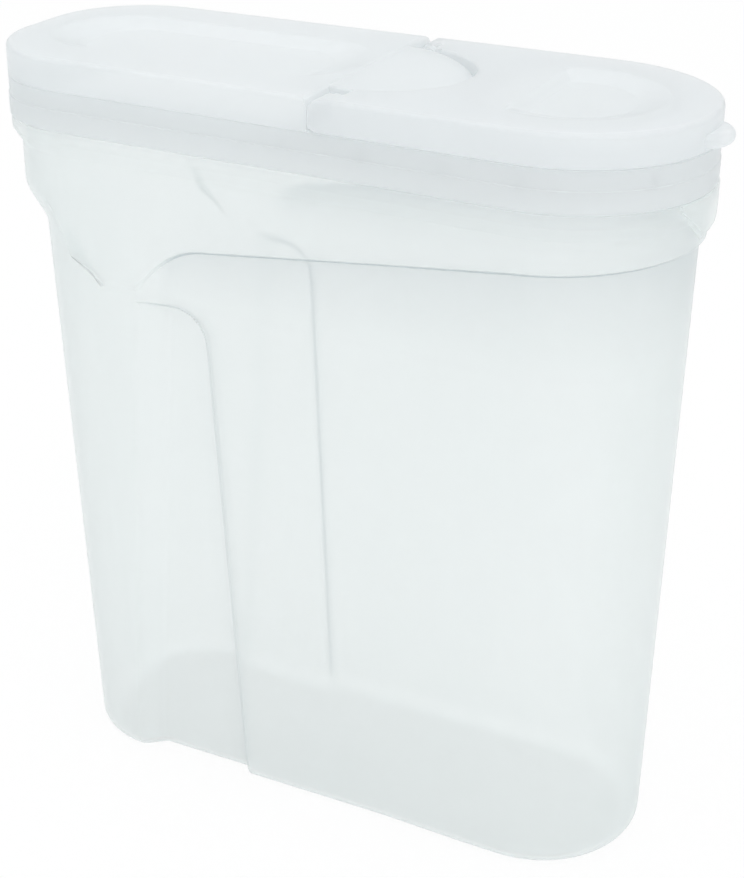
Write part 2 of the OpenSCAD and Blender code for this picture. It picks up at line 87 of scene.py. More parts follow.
@dataclass(frozen=True)
class Graph:
    """A node tree that is filled node by node.

    Args:
        tree: The tree.
    """

    tree: bpy.types.NodeTree

    def add(self, kind: str, sockets: dict | None = None, **settings: object) -> bpy.types.Node:
        """Add a node.

        Args:
            kind: Type of the node.
            sockets: Values of its input sockets, by name or place.
            settings: Its other settings.

        Returns:
            The new node.
        """
        node = self.tree.nodes.new(kind)
        for label, value in settings.items():
            setattr(node, label, value)
        for socket, value in (sockets or {}).items():
            node.inputs[socket].default_value = value
        return node

    def math(self, operation: str, sockets: dict | None = None,
             clamp: bool = False) -> bpy.types.Node:
        """Add a maths node."""
        return self.add("ShaderNodeMath", sockets, operation=operation, use_clamp=clamp)

    def tinted(self, colour: tuple[float, float, float]) -> bpy.types.Node:
        """Add a node that multiplies a colour by another one, by a share."""
        return self.add("ShaderNodeMix", {7: (*colour, 1.0)},
                        data_type="RGBA", blend_type="MULTIPLY")

    def wire(self, *pairs: tuple[bpy.types.NodeSocket, bpy.types.NodeSocket]) -> None:
        """Join each pair of sockets."""
        for start, end in pairs:
            self.tree.links.new(start, end)


@dataclass(frozen=True)
class Polypropylene:
    """A translucent natural polypropylene moulding.

    Args:
        name: Name of the material.
        tint: Linear colour of the plastic.
        roughness: Roughness of its satin skin.
        clear: Share of light that passes straight through one skin, seen face on.
        clear_edge: The same share where the skin is seen edge on.
        scatter: Share of the rest that is lit from behind instead of from the front.
        shade: Share of a skin's shadow that falls on what lies behind it.
        haze: Depth of the slow change in clearness across the wall.
        grain: Height of the fine moulded texture.
    """

    name: str
    tint: tuple[float, float, float]
    roughness: float
    clear: float
    clear_edge: float
    scatter: float = 0.42
    shade: float = 0.45
    haze: float = 0.04
    grain: float = 0.02

    def build(self) -> bpy.types.Material:
        """Make the material.

        Returns:
            The finished material.
        """
        mat = bpy.data.materials.new(self.name)
        mat.use_nodes = True
        mat.surface_render_method = "BLENDED"
        mat.node_tree.nodes.clear()
        graph = Graph(mat.node_tree)
        out = graph.add("ShaderNodeOutputMaterial")
        shader = graph.add("ShaderNodeBsdfPrincipled", {"IOR": 1.49, "Specular IOR Level": 0.4})
        skin = graph.add("ShaderNodeGroup", node_tree=moulded_skin_group())
        skin.inputs["Tint"].default_value = (*self.tint, 1.0)
        skin.inputs["Haze"].default_value = self.haze
        skin.inputs["Grain"].default_value = self.grain
        skin.inputs["Roughness"].default_value = self.roughness
        # Painted crease shade shows on the outside of the wall only.
        crease_shade_mark = graph.add("ShaderNodeAttribute", attribute_name="fold")
        side = graph.add("ShaderNodeNewGeometry")
        front = graph.math("SUBTRACT", {0: 1.0})
        front_crease_shade = graph.math("MULTIPLY")
        graph.wire(
            (side.outputs["Backfacing"], front.inputs[1]),
            (crease_shade_mark.outputs["Fac"], front_crease_shade.inputs[0]),
            (front.outputs[0], front_crease_shade.inputs[1]),
            (front_crease_shade.outputs[0], skin.inputs["Fold"]),
        )
        # A skin seen edge on holds more light back, and its shadow is thin.
        weight = graph.add("ShaderNodeLayerWeight", {"Blend": 0.35})
        span = graph.add("ShaderNodeMapRange",
                         {"To Min": 1.0 - self.clear, "To Max": 1.0 - self.clear_edge})
        total = graph.math("ADD", clamp=True)
        path = graph.add("ShaderNodeLightPath")
        dim = graph.add("ShaderNodeMapRange", {"To Min": 1.0, "To Max": self.shade})
        cover = graph.math("MULTIPLY")
        graph.wire(
            (weight.outputs["Facing"], span.inputs["Value"]),
            (span.outputs["Result"], total.inputs[0]),
            (skin.outputs["Haze"], total.inputs[1]),
            (path.outputs["Is Shadow Ray"], dim.inputs["Value"]),
            (total.outputs[0], cover.inputs[0]),
            (dim.outputs["Result"], cover.inputs[1]),
        )
        glow = graph.add("ShaderNodeBsdfTranslucent")
        gap = graph.add("ShaderNodeBsdfTransparent")
        thin = graph.add("ShaderNodeMixShader")
        body = graph.add("ShaderNodeMixShader", {0: self.scatter})
        graph.wire(
            (skin.outputs["Color"], shader.inputs["Base Color"]),
            (skin.outputs["Roughness"], shader.inputs["Roughness"]),
            (skin.outputs["Normal"], shader.inputs["Normal"]),
            (cover.outputs[0], shader.inputs["Alpha"]),
            (skin.outputs["Color"], glow.inputs["Color"]),
            (skin.outputs["Normal"], glow.inputs["Normal"]),
            (cover.outputs[0], thin.inputs[0]),
            (gap.outputs["BSDF"], thin.inputs[1]),
            (glow.outputs["BSDF"], thin.inputs[2]),
            (shader.outputs["BSDF"], body.inputs[1]),
            (thin.outputs["Shader"], body.inputs[2]),
            (body.outputs["Shader"], out.inputs["Surface"]),
        )
        return mat


def moulded_skin_group() -> bpy.types.NodeTree:
    """Make the shared group for the skin of moulded polypropylene.

    Returns:
        A node group with inputs Tint, Haze, Grain, Roughness and Crease shade, and outputs Color,
        Haze, Roughness and Normal. Crease shade is 1 in a moulded crease, where painted shade
        darkens the colour and raises the Haze output so the skin is less clear.
    """
    name = "Moulded skin"
    if name in bpy.data.node_groups:
        return bpy.data.node_groups[name]
    tree = bpy.data.node_groups.new(name, "ShaderNodeTree")
    face = tree.interface
    tint = face.new_socket("Tint", in_out="INPUT", socket_type="NodeSocketColor")
    tint.default_value = (0.8, 0.85, 0.85, 1.0)
    for label, value in (("Haze", 0.04), ("Grain", 0.02), ("Roughness", 0.35), ("Fold", 0.0)):
        socket = face.new_socket(label, in_out="INPUT", socket_type="NodeSocketFloat")
        socket.default_value = value
    for label, kind in (("Color", "Color"), ("Haze", "Float"), ("Roughness", "Float"),
                        ("Normal", "Vector")):
        face.new_socket(label, in_out="OUTPUT", socket_type="NodeSocket" + kind)
    graph = Graph(tree)
    source = graph.add("NodeGroupInput")
    sink = graph.add("NodeGroupOutput")
    place = graph.add("ShaderNodeTexCoord")
    flow = graph.add("ShaderNodeTexNoise", {"Scale": 14.0, "Detail": 3.0})
    fine = graph.add("ShaderNodeTexNoise", {"Scale": 900.0, "Detail": 2.0})
    bump = graph.add("ShaderNodeBump", {"Distance": 0.0004})
    cloud = graph.math("SUBTRACT", {1: 0.5})
    amount = graph.math("MULTIPLY")
    # A crease also makes the skin less clear, so that its painted shade shows.
    held = graph.math("MULTIPLY_ADD", {1: 0.5})
    satin = graph.math("MULTIPLY_ADD", {1: 0.12})
    shade = graph.tinted((0.97, 0.985, 0.985))
    # Painted shade: creases take this darker colour.
    crease_shade_tint = graph.tinted((0.56, 0.6, 0.63))
    graph.wire(
        (place.outputs["Object"], flow.inputs["Vector"]),
        (place.outputs["Object"], fine.inputs["Vector"]),
        (flow.outputs["Fac"], cloud.inputs[0]),
        (cloud.outputs[0], amount.inputs[0]),
        (source.outputs["Haze"], amount.inputs[1]),
        (source.outputs["Fold"], held.inputs[0]),
        (amount.outputs[0], held.inputs[2]),
        (held.outputs[0], sink.inputs["Haze"]),
        (fine.outputs["Fac"], bump.inputs["Height"]),
        (source.outputs["Grain"], bump.inputs["Strength"]),
        (bump.outputs["Normal"], sink.inputs["Normal"]),
        (flow.outputs["Fac"], shade.inputs[0]),
        (source.outputs["Tint"], shade.inputs[6]),
        (source.outputs["Fold"], crease_shade_tint.inputs[0]),
        (shade.outputs[2], crease_shade_tint.inputs[6]),
        (crease_shade_tint.outputs[2], sink.inputs["Color"]),
        (cloud.outputs[0], satin.inputs[0]),
        (source.outputs["Roughness"], satin.inputs[2]),
        (satin.outputs[0], sink.inputs["Roughness"]),
    )
    return tree


# Shared geometry


@dataclass(frozen=True)
class LidOutline:
    """Plan of the lid: one pour-end circle, two grip-end corner circles, straight between.

    Args:
        length: Length of the lid.
        front_r: Radius of the pour end.
        rear_r: Radius of each grip-end corner.
        rear_y: Distance from the centre line to each corner's centre.
        arc_steps: Steps in each quarter turn.
        side_steps: Steps along each straight side.
    """

    length: float = 250.0
    front_r: float = 48.0
    rear_r: float = 36.0
    rear_y: float = 9.0
    arc_steps: int = 40
    side_steps: int = 24

    @property
    def front_x(self) -> float:
        """X of the pour-end circle's centre."""
        return self.length / 2 - self.front_r

    @property
    def rear_x(self) -> float:
        """X of the corner circles' centres."""
        return -self.length / 2 + self.rear_r

    def side_y(self, x: float) -> float:
        """Half the width of the outline at an X on the side or on the pour end's arc.

        Args:
            x: X ahead of the grip-end corners.

        Returns:
            Y of the outline on one side.
        """
        if x > self.front_x:
            return math.sqrt(self.front_r ** 2 - (x - self.front_x) ** 2)
        t = (x - self.front_x) / (self.rear_x - self.front_x)
        return mix(self.front_r, self.rear_r + self.rear_y, t)

    def points(self, inset: float) -> np.ndarray:
        """Points round the outline, drawn in by an inset.

        Args:
            inset: Distance inside the outline.

        Returns:
            An array of X and Y, counter-clockwise from the pour end, at matching places
            for every inset.
        """
        rf, rr = self.front_r - inset, self.rear_r - inset
        a = np.radians(np.linspace(0.0, 90.0, self.arc_steps + 1))
        front = np.stack([self.front_x + rf * np.cos(a), rf * np.sin(a)], 1)
        t = np.linspace(0.0, 1.0, self.side_steps + 1)[1:-1]
        line = np.stack(
            [mix(self.front_x, self.rear_x, t), mix(rf, rr + self.rear_y, t)], 1)
        b = np.radians(np.linspace(90.0, 180.0, self.arc_steps + 1))
        rear = np.stack([self.rear_x + rr * np.cos(b), self.rear_y + rr * np.sin(b)], 1)
        half = np.concatenate([front, line, rear])
        other = half[1:][::-1] * np.array([1.0, -1.0])
        return np.concatenate([half, other])


OUTLINE = LidOutline()


@dataclass
class MeshSketch:
    """Gathers points and faces in millimetres and turns them into one object."""

    points: list[np.ndarray] = field(default_factory=list)
    faces: list[list[int]] = field(default_factory=list)

    def grid(self, rows: np.ndarray, closed: bool = True) -> int:
        """Add a sheet of quads through rows of points.

        Args:
            rows: Array of shape (rows, columns, 3).
            closed: Whether the last column joins the first.

        Returns:
            The index of the sheet's first point.
        """
        m, n = rows.shape[:2]
        start = sum(len(p) for p in self.points)
        self.points.append(rows.reshape(-1, 3))
        i = np.arange(n if closed else n - 1)
        k = (i + 1) % n
        for j in range(m - 1):
            a, b = start + j * n, start + (j + 1) * n
            self.faces.extend(np.stack([a + i, a + k, b + k, b + i], 1).tolist())
        return start

    def tube(self, rows: np.ndarray) -> None:
        """Add a closed tube through rows of points, with a face over each end.

        Args:
            rows: Array of shape (rows, columns, 3).
        """
        start, n = self.grid(rows), rows.shape[1]
        ends = [list(range(k, k + n)) for k in (start, start + (len(rows) - 1) * n)]
        self.faces += [ends[0][::-1], ends[1]]

    def build(self, name: str) -> bpy.types.Object:
        """Make the object.

        Args:
            name: Name of the object.

        Returns:
            The new object, smooth shaded and linked to the scene.
        """
        data = bpy.data.meshes.new(name)
        points = np.concatenate(self.points) * MM
        data.from_pydata(points.tolist(), [], self.faces)
        sheet = bmesh.new()
        sheet.from_mesh(data)
        bmesh.ops.remove_doubles(sheet, verts=sheet.verts, dist=MERGE * MM)
        bmesh.ops.dissolve_degenerate(sheet, edges=sheet.edges, dist=1e-7)
        bmesh.ops.recalc_face_normals(sheet, faces=sheet.faces)
        sheet.to_mesh(data)
        sheet.free()
        for polygon in data.polygons:
            polygon.use_smooth = True
        obj = bpy.data.objects.new(name, data)
        bpy.context.scene.collection.objects.link(obj)
        return obj


def dress(obj: bpy.types.Object, material: bpy.types.Material) -> None:
    """Give an object one material on all its faces."""
    obj.data.materials.clear()
    obj.data.materials.append(material)


def mesh_points(data: bpy.types.Mesh) -> np.ndarray:
    """X, Y and Z of every point of a mesh, in millimetres.

    Args:
        data: The mesh.

    Returns:
        Points of shape (points, 3).
    """
    points = np.empty(len(data.vertices) * 3)
    data.vertices.foreach_get("co", points)
    return points.reshape(-1, 3) / MM


def write_crease_shade(data: bpy.types.Mesh, value: np.ndarray) -> None:
    """Keep each point's share of painted crease shade in the mesh, for the material."""
    attribute = data.attributes.new("fold", "FLOAT", "POINT")
    attribute.data.foreach_set("value", value.astype(np.float32))


# Tub


@dataclass
class Tub:
    """The container's body, with its shoulder line, finger recesses, rim and pull lug.

    Each span holds a value at the base and one at the top of the finger recess.
    """

    rim_h: float = 260.7
    wall: float = 1.6
    floor: float = 2.0
    base_r: float = 6.0
    upper_inset: float = 2.1
    flange_inset: float = 0.4
    panel_front_inset: float = 4.2
    panel_rear_inset: float = 11.3
    upper_rear_inset: float = 1.8
    front_less: float = 3.8
    rear_less: float = 2.0
    front_lean: float = 2.3
    rear_lean: float = 11.2
    front_taper: float = 5.3
    rear_taper: float = 2.5
    panel_step: float = 1.6
    panel_step_top: float = 0.9
    panel_h: float = 232.2
    panel_x: float = 25.0
    even_z: float = 176.0
    edge_span: tuple[float, float] = (-23.5, -35.0)
    floor_span: tuple[float, float] = (-62.0, -49.0)
    ramp_span: tuple[float, float] = (10.0, 14.0)
    grip_z: float = 192.2
    grip_depth: float = 4.0
    grip_corner: float = 12.0
    grip_band: float = 1.4
    inner_edge: float = 0.8
    inner_corner: float = 0.6
    shoulder_x: float = -35.0
    shoulder_z: float = 214.7
    shoulder_slope: float = 0.118
    shoulder_end: float = 98.0
    shoulder_fall: float = 0.022
    shoulder_turn: float = 21.0
    # Sides beyond this Y take the painted shade along the recess edge.
    crease_shade_y: float = 25.0
    overhang_z: float = 218.7
    overhang_h: float = 15.0
    upper_z: float = 239.7
    flange_z: float = 244.7
    flange_top: float = 248.7
    rim_inset: float = 3.4
    rim_wall: float = 1.8
    lug_half_w: float = 19.0
    lug_h: float = 16.0
    lug_out: float = 0.4
    lug_slope: float = 38.66
    lug_tip: float = 4.0

    def thick(self, zone: Zone) -> float:
        """How far a skin lies inside the outer one."""
        return 0.0 if zone is Zone.OUTSIDE else self.wall

    def edge_z(self, zone: Zone) -> float:
        """Height of the recess's top edge on a skin."""
        return self.grip_z + self.inner_edge * self.thick(zone)

    def low_front(self, z: Number) -> tuple[Number, Number]:
        """Pour-end circle of the lower panel at a height: centre X and radius.

        Args:
            z: Height, or an array of them.

        Returns:
            X of the circle's centre, and its radius.
        """
        t = 1.0 - clamp01(z / self.panel_h)
        r = OUTLINE.front_r - self.front_less - self.front_taper * t
        return OUTLINE.length / 2 - self.panel_front_inset - self.front_lean * t - r, r

    def low_rear(self, z: Number) -> tuple[Number, Number]:
        """Grip-end corner circle of the lower panel at a height: centre X and radius.

        Args:
            z: Height, or an array of them.

        Returns:
            X of the circle's centre, and its radius.
        """
        t = 1.0 - clamp01(z / self.panel_h)
        r = OUTLINE.rear_r - self.rear_less - self.rear_taper * t
        return -OUTLINE.length / 2 + self.panel_rear_inset + self.rear_lean * t + r, r

    def grip_x(self, z: Number) -> Number:
        """X of the recess's crisp front edge at a height."""
        return mix(*self.edge_span, clamp01(z / self.grip_z))

    def floor_x(self, z: Number) -> Number:
        """X where the recess's floor ends and its ramp begins."""
        return mix(*self.floor_span, clamp01(z / self.grip_z))

    def ramp_x(self, z: Number) -> Number:
        """X where the recess's ramp meets the nose."""
        return self.floor_x(z) - mix(*self.ramp_span, clamp01(z / self.grip_z))

    def shoulder(self, x: Number) -> Number:
        """Height of the shoulder line at an X on the side.

        Args:
            x: X, or an array of them.

        Returns:
            The height there.
        """
        back = np.clip(self.shoulder_x - x, 0.0, None)
        line = self.shoulder_z \
            + self.shoulder_slope * (np.minimum(x, self.shoulder_end) - self.shoulder_x) \
            - self.shoulder_fall * back * back
        return np.maximum(line, self.grip_z + 5.0)

    def grip_gap(self, x: np.ndarray, z: np.ndarray, thick: float) -> np.ndarray:
        """Distance outside the recess's crisp edge, less than 0 inside it.

        Args:
            x: X of each point.
            z: Height of each point.
            thick: How far the skin lies inside the outer one.

        Returns:
            The distance at each point.
        """
        r = self.grip_corner - thick * self.inner_corner
        out = self.inner_edge * thick - r
        qx, qz = x - (self.grip_x(z) + out), z - (self.grip_z + out)
        beyond = np.hypot(np.maximum(qx, 0), np.maximum(qz, 0))
        return beyond + np.minimum(np.maximum(qx, qz), 0) - r

    def nose_share(self, x: Number, z: Number) -> Number:
        """Share from 0 on the nose to 1 on the recess's floor and the panel."""
        return smooth((x - self.ramp_x(z)) / (self.floor_x(z) - self.ramp_x(z)))

    def painted_crease_shade(self, points: np.ndarray) -> np.ndarray:
        """How much painted shade each point of the outside takes along a moulded crease.

        Args:
            points: X, Y and Z of each point.

        Returns:
            A share from 0 on open wall to 1 in the middle of a crease, where the shade is painted
            darkest.
        """
        x, y, z = points.T
        # Painted shade along the recess's front edge, and along the shoulder line below.
        edge = np.exp(-(self.grip_gap(x, z, 0.0) + 0.4) ** 2) * self.nose_share(x, z)
        edge = np.where(np.abs(y) > self.crease_shade_y, edge, 0.0) * smooth((z - 3.0) / 6.0)
        ahead = np.clip(x - OUTLINE.front_x, 0.0, None)
        cos = ahead / np.maximum(np.hypot(ahead, y), 1e-6)
        place = np.where(ahead > 0.0, OUTLINE.front_x + self.shoulder_turn * cos, x)
        step = np.exp(-((z - self.shoulder(place) + 0.2) / 0.75) ** 2)
        return clamp01(edge + 0.8 * step * smooth((place + 56.0) / 12.0))

    def depth(self, x: np.ndarray, z: np.ndarray, zone: Zone) -> np.ndarray:
        """How far the side stands in from the nose line.

        Args:
            x: X of each point.
            z: Height of each point.
            zone: Which skin of the wall.

        Returns:
            The depth at each point.
        """
        soft = 0.45 if zone is Zone.OUTSIDE else 1.1
        fx = self.low_front(z)[0]
        share = 1.0 - smooth((x - self.panel_x) / (fx - self.panel_x))
        nose = self.nose_share(x, z)
        panel = mix(self.panel_step, self.panel_step_top, clamp01(z / self.panel_h)) * share * nose
        gap = self.grip_gap(x, z, self.thick(zone))
        recess = self.grip_depth * smooth(0.5 - gap / (2 * soft)) * nose
        return panel + recess

    def columns(self, z: np.ndarray) -> tuple[np.ndarray, np.ndarray]:
        """Places along one half of the outline, for rows of heights.

        Args:
            z: Height of each row, shape (rows,).

        Returns:
            Arrays of shape (rows, columns): kind (0 front, 1 side, 2 rear) plus the share
            along that kind, and X on the side.
        """
        rows = len(z)
        fx = self.low_front(z)[0][:, None]
        rx = self.low_rear(z)[0][:, None]
        g = self.grip_x(z)[:, None]
        n = self.floor_x(z)[:, None]
        p = np.maximum(self.ramp_x(z)[:, None], rx + 0.8)
        front = np.linspace(0.0, 1.0, 25)[None, :].repeat(rows, 0)
        main = np.concatenate([np.linspace(0.0, 0.9, 22)[1:], np.linspace(0.9, 1.0, 9)[1:]])
        side = np.concatenate([
            mix(fx, g + 1.6, main[None, :]),
            g + np.linspace(1.3, -1.6, 14)[None, :],
            mix(g - 1.6, n, np.linspace(0.0, 1.0, 15)[None, 1:]),
            mix(n, p, np.linspace(0.0, 1.0, 15)[None, 1:]),
            mix(p, rx, np.linspace(0.0, 1.0, 8)[None, 1:-1]),
        ], 1)
        rear = np.linspace(0.0, 1.0, 31)[None, :].repeat(rows, 0)
        kind = np.concatenate([front, 1.0 + 0 * side, 2.0 + rear], 1)
        x = np.concatenate([0 * front, side, 0 * rear], 1)
        return kind, x

    def skin(self, zs: np.ndarray, up: np.ndarray, base: np.ndarray, inset: np.ndarray,
             zone: Zone) -> np.ndarray:
        """Rows of points on one skin.

        Args:
            zs: Heights, shape (rows, columns of one half).
            up: Share of the upper zone in each point, same shape.
            base: Height of each row that sets its columns, shape (rows,).
            inset: How far each row is drawn in, shape (rows,).
            zone: Which skin of the wall.

        Returns:
            Points of shape (rows, all columns, 3).
        """
        kind, x = self.columns(base)
        inset = inset[:, None]
        fx, fr = self.low_front(zs)
        rx, rr = self.low_rear(zs)
        ux = OUTLINE.front_x
        uf = OUTLINE.front_r - self.upper_inset - inset
        ur = OUTLINE.rear_r - self.upper_inset - inset
        a = np.radians(90.0 * np.clip(kind, 0.0, 1.0))
        front_low = (fx + (fr - inset) * np.cos(a), (fr - inset) * np.sin(a))
        front_high = (ux + uf * np.cos(a), uf * np.sin(a))
        b = np.radians(90.0 + 90.0 * np.clip(kind - 2.0, 0.0, 1.0))
        rear_low = (rx + (rr - inset) * np.cos(b), OUTLINE.rear_y + (rr - inset) * np.sin(b))
        shift = self.upper_rear_inset * clamp01((self.flange_z - 0.5 - zs) / 4.5)
        rear_high = (OUTLINE.rear_x + shift + ur * np.cos(b), OUTLINE.rear_y + ur * np.sin(b))
        t = (x - fx) / (rx - fx)
        side_low = mix(fr, rr + OUTLINE.rear_y, t) - inset - self.depth(x, zs, zone)
        u = (x - ux) / (OUTLINE.rear_x - ux)
        side_high = mix(OUTLINE.front_r, OUTLINE.rear_r + OUTLINE.rear_y, u) \
            - self.upper_inset - inset
        is_front = (kind < 1.0) | ((kind == 1.0) & (x == 0.0))
        low = (x, side_low)
        high = (x, side_high)
        px, py = (
            mix(*(np.where(is_front, front[k], np.where(kind >= 2.0, rear[k], side[k]))
                  for front, rear, side in ((front_low, rear_low, low),
                                            (front_high, rear_high, high))), up)
            for k in (0, 1)
        )
        py[:, 0] = 0.0
        half = np.stack([px, py, zs], 2)
        other = half[:, 1:][:, ::-1] * np.array([1.0, -1.0, 1.0])
        return np.concatenate([half, other], 1)

    def level_rows(self, z: np.ndarray, base: np.ndarray, inset: np.ndarray, up: float,
                   zone: Zone) -> np.ndarray:
        """Rows of points that each lie at one height.

        Args:
            z: Height of each row.
            base: Height that sets each row's columns.
            inset: How far each row is drawn in.
            up: Share of the upper zone in all of them.
            zone: Which skin of the wall.

        Returns:
            Points of shape (rows, columns, 3).
        """
        count = self.columns(base[:1])[0].shape[1]
        zs = z[:, None].repeat(count, 1)
        return self.skin(zs, np.full_like(zs, up), base, inset, zone)

    def lower_rows(self, zone: Zone) -> np.ndarray:
        """Rows from the base to just under the shoulder line, as points.

        Args:
            zone: Which skin of the wall.

        Returns:
            Points of shape (rows, columns, 3).
        """
        thick = self.thick(zone)
        bottom = 0.0 if zone is Zone.OUTSIDE else self.floor
        r = self.base_r - thick
        roll = np.radians(np.linspace(0.0, 90.0, 9))
        z0 = bottom + r * (1 - np.cos(roll))
        i0 = thick + r * (1 - np.sin(roll))
        edge, band = self.edge_z(zone), self.grip_band
        levels = np.concatenate([
            np.linspace(self.base_r, self.even_z, 46)[1:],
            np.linspace(self.even_z, edge - band, 19)[1:],
            np.linspace(edge - band, edge + band, 9)[1:],
        ])
        z = np.concatenate([z0, levels])
        inset = np.concatenate([i0, np.full(len(levels), thick)])
        return self.level_rows(z, z, inset, 0.0, zone)

    def shoulder_rows(self, zone: Zone) -> np.ndarray:
        """Rows over the shoulder line and the grip end's overhang.

        Args:
            zone: Which skin of the wall.

        Returns:
            Points of shape (rows, columns, 3).
        """
        thick = self.thick(zone)
        base = np.array([self.edge_z(zone) + self.grip_band])
        kind, x = self.columns(base)
        is_front = (kind < 1.0) | ((kind == 1.0) & (x == 0.0))
        cos = np.cos(np.radians(90 * kind))
        place = np.where(is_front, OUTLINE.front_x + self.shoulder_turn * cos, x)
        mid = self.shoulder(place)
        t = clamp01((kind - 2.0) / 0.25)
        turn = np.sin(np.pi / 2 * t)
        rear = kind >= 2.0
        mid = np.where(rear, mix(self.grip_z + 10.0, self.overhang_z, turn), mid)
        near = smooth((-52.0 - place) / 25.0)
        half = np.where(rear, mix(2.6, self.overhang_h / 2, turn), mix(0.9, 2.6, near))
        mid = mid + 0.5 * thick
        steps = np.linspace(0.0, 1.0, 17)[:, None]
        zs = mid + half * (2 * steps - 1)
        up = smooth(steps) + 0 * zs
        rows = np.full(len(steps), base[0])
        inset = np.full(len(steps), thick)
        return self.skin(zs, up, rows, inset, zone)

    def upper_rows(self, zone: Zone) -> np.ndarray:
        """Rows from above the shoulder to the flange and the rim.

        Args:
            zone: Which skin of the wall.

        Returns:
            Points of shape (rows, columns, 3).
        """
        if zone is Zone.OUTSIDE:
            out = self.flange_inset - self.upper_inset
            rim = self.rim_inset - self.upper_inset
            profile = [
                (self.upper_z - 3.0, 0.0), (self.upper_z, 0.0), (self.upper_z + 0.8, -0.15),
                (self.flange_z - 0.4, out + 0.12), (self.flange_z + 0.3, out),
                (self.flange_top - 0.3, out), (self.flange_top, out + 0.3),
                (self.flange_top, rim), (self.rim_h - 0.5, rim), (self.rim_h, rim + 0.5),
            ]
        else:
            crease_shade_tint = self.rim_inset + self.rim_wall - self.upper_inset
            profile = [
                (self.upper_z - 3.0, self.wall), (self.upper_z, self.wall),
                (self.flange_z + 0.2, crease_shade_tint - 0.2), (self.flange_z + 1.2, crease_shade_tint),
                (self.rim_h - 0.5, crease_shade_tint), (self.rim_h, crease_shade_tint - 0.5),
            ]
        z, inset = np.array(profile).T
        base = np.full(len(z), self.edge_z(zone) + self.grip_band)
        return self.level_rows(z, base, inset, 1.0, zone)

    def build_shell(self) -> bpy.types.Object:
        """Make the tub's moulded shell.

        Returns:
            The shell as one object.
        """
        sketch = MeshSketch()
        parts = []
        for zone in Zone:
            rows = np.concatenate(
                [self.lower_rows(zone), self.shoulder_rows(zone), self.upper_rows(zone)])
            parts.append(rows if zone is Zone.OUTSIDE else rows[::-1])
        sketch.tube(np.concatenate(parts))
        shell = sketch.build("tub_shell")
        lug = self.pull_lug().finish("pull_lug", 26.0)
        self.take_in(shell, lug)
        return shell

    def take_in(self, shell: bpy.types.Object, lug: bpy.types.Object) -> None:
        """Set the lug into the shell and write the painted crease shade into the mesh.

        Args:
            shell: The tub's wall, which keeps its own shading next to the lug.
            lug: The lug, which is used up.
        """
        data = shell.data
        count = len(data.vertices)
        both = bmesh.new()
        both.from_mesh(data)
        both.from_mesh(lug.data)
        both.to_mesh(data)
        both.free()
        bpy.data.objects.remove(lug)
        # Painted crease shade for the shell; the lug takes none.
        value = self.painted_crease_shade(mesh_points(data))
        value[count:] = 0.0
        write_crease_shade(data, value)

    def pull_lug(self) -> "Solid":
        """The V-shaped lug under the lid's pour end.

        Returns:
            The lug, run a little into the wall behind it.
        """
        low, tip = self.flange_top - self.lug_h, self.lug_tip
        slope = math.radians(self.lug_slope)
        half, side = self.lug_half_w, 0.8
        bow = [(tip * math.cos(a), low + tip + tip * math.sin(a))
               for a in np.linspace(-math.pi / 2 - slope, -math.pi / 2 + slope, 13)]
        edge = low + tip - tip * math.cos(slope) + (half - tip * math.sin(slope)) * math.tan(slope)
        right = [(half - side, edge - side * math.tan(slope)), (half - 0.2, edge),
                 (half, edge + side), (half, self.flange_top - 0.05)]
        left = [(-y, z) for y, z in right[::-1]]
        flat = np.array(bow + right + left)
        form = Solid.from_rings([np.column_stack([np.full(len(flat), x), flat])
                                 for x in (OUTLINE.front_x + 30.0, OUTLINE.front_x + 60.0)])
        full = OUTLINE.front_r + self.lug_out
        steps = [
            (low - 6.0, full - 7.4), (low + 3.0, full - 0.8), (low + 4.2, full - 0.2),
            (low + 5.4, full), (self.flange_top - 0.7, full),
            (self.flange_top - 0.2, full - 0.2), (self.flange_top, full - 0.6),
        ]
        form.keep(Solid.from_rings([circle(OUTLINE.front_x, r, z, 180) for z, r in steps]))
        inner = OUTLINE.front_r - self.upper_inset - self.wall / 2
        return form.cut(Solid.from_rings([circle(OUTLINE.front_x, inner, z, 180)
                                          for z in (low - 8.0, self.flange_top + 5.0)]))


# Solids that are joined and cut


class Join(Enum):
    """How one solid acts on another."""

    ADD = "UNION"
    CUT = "DIFFERENCE"
    KEEP = "INTERSECT"


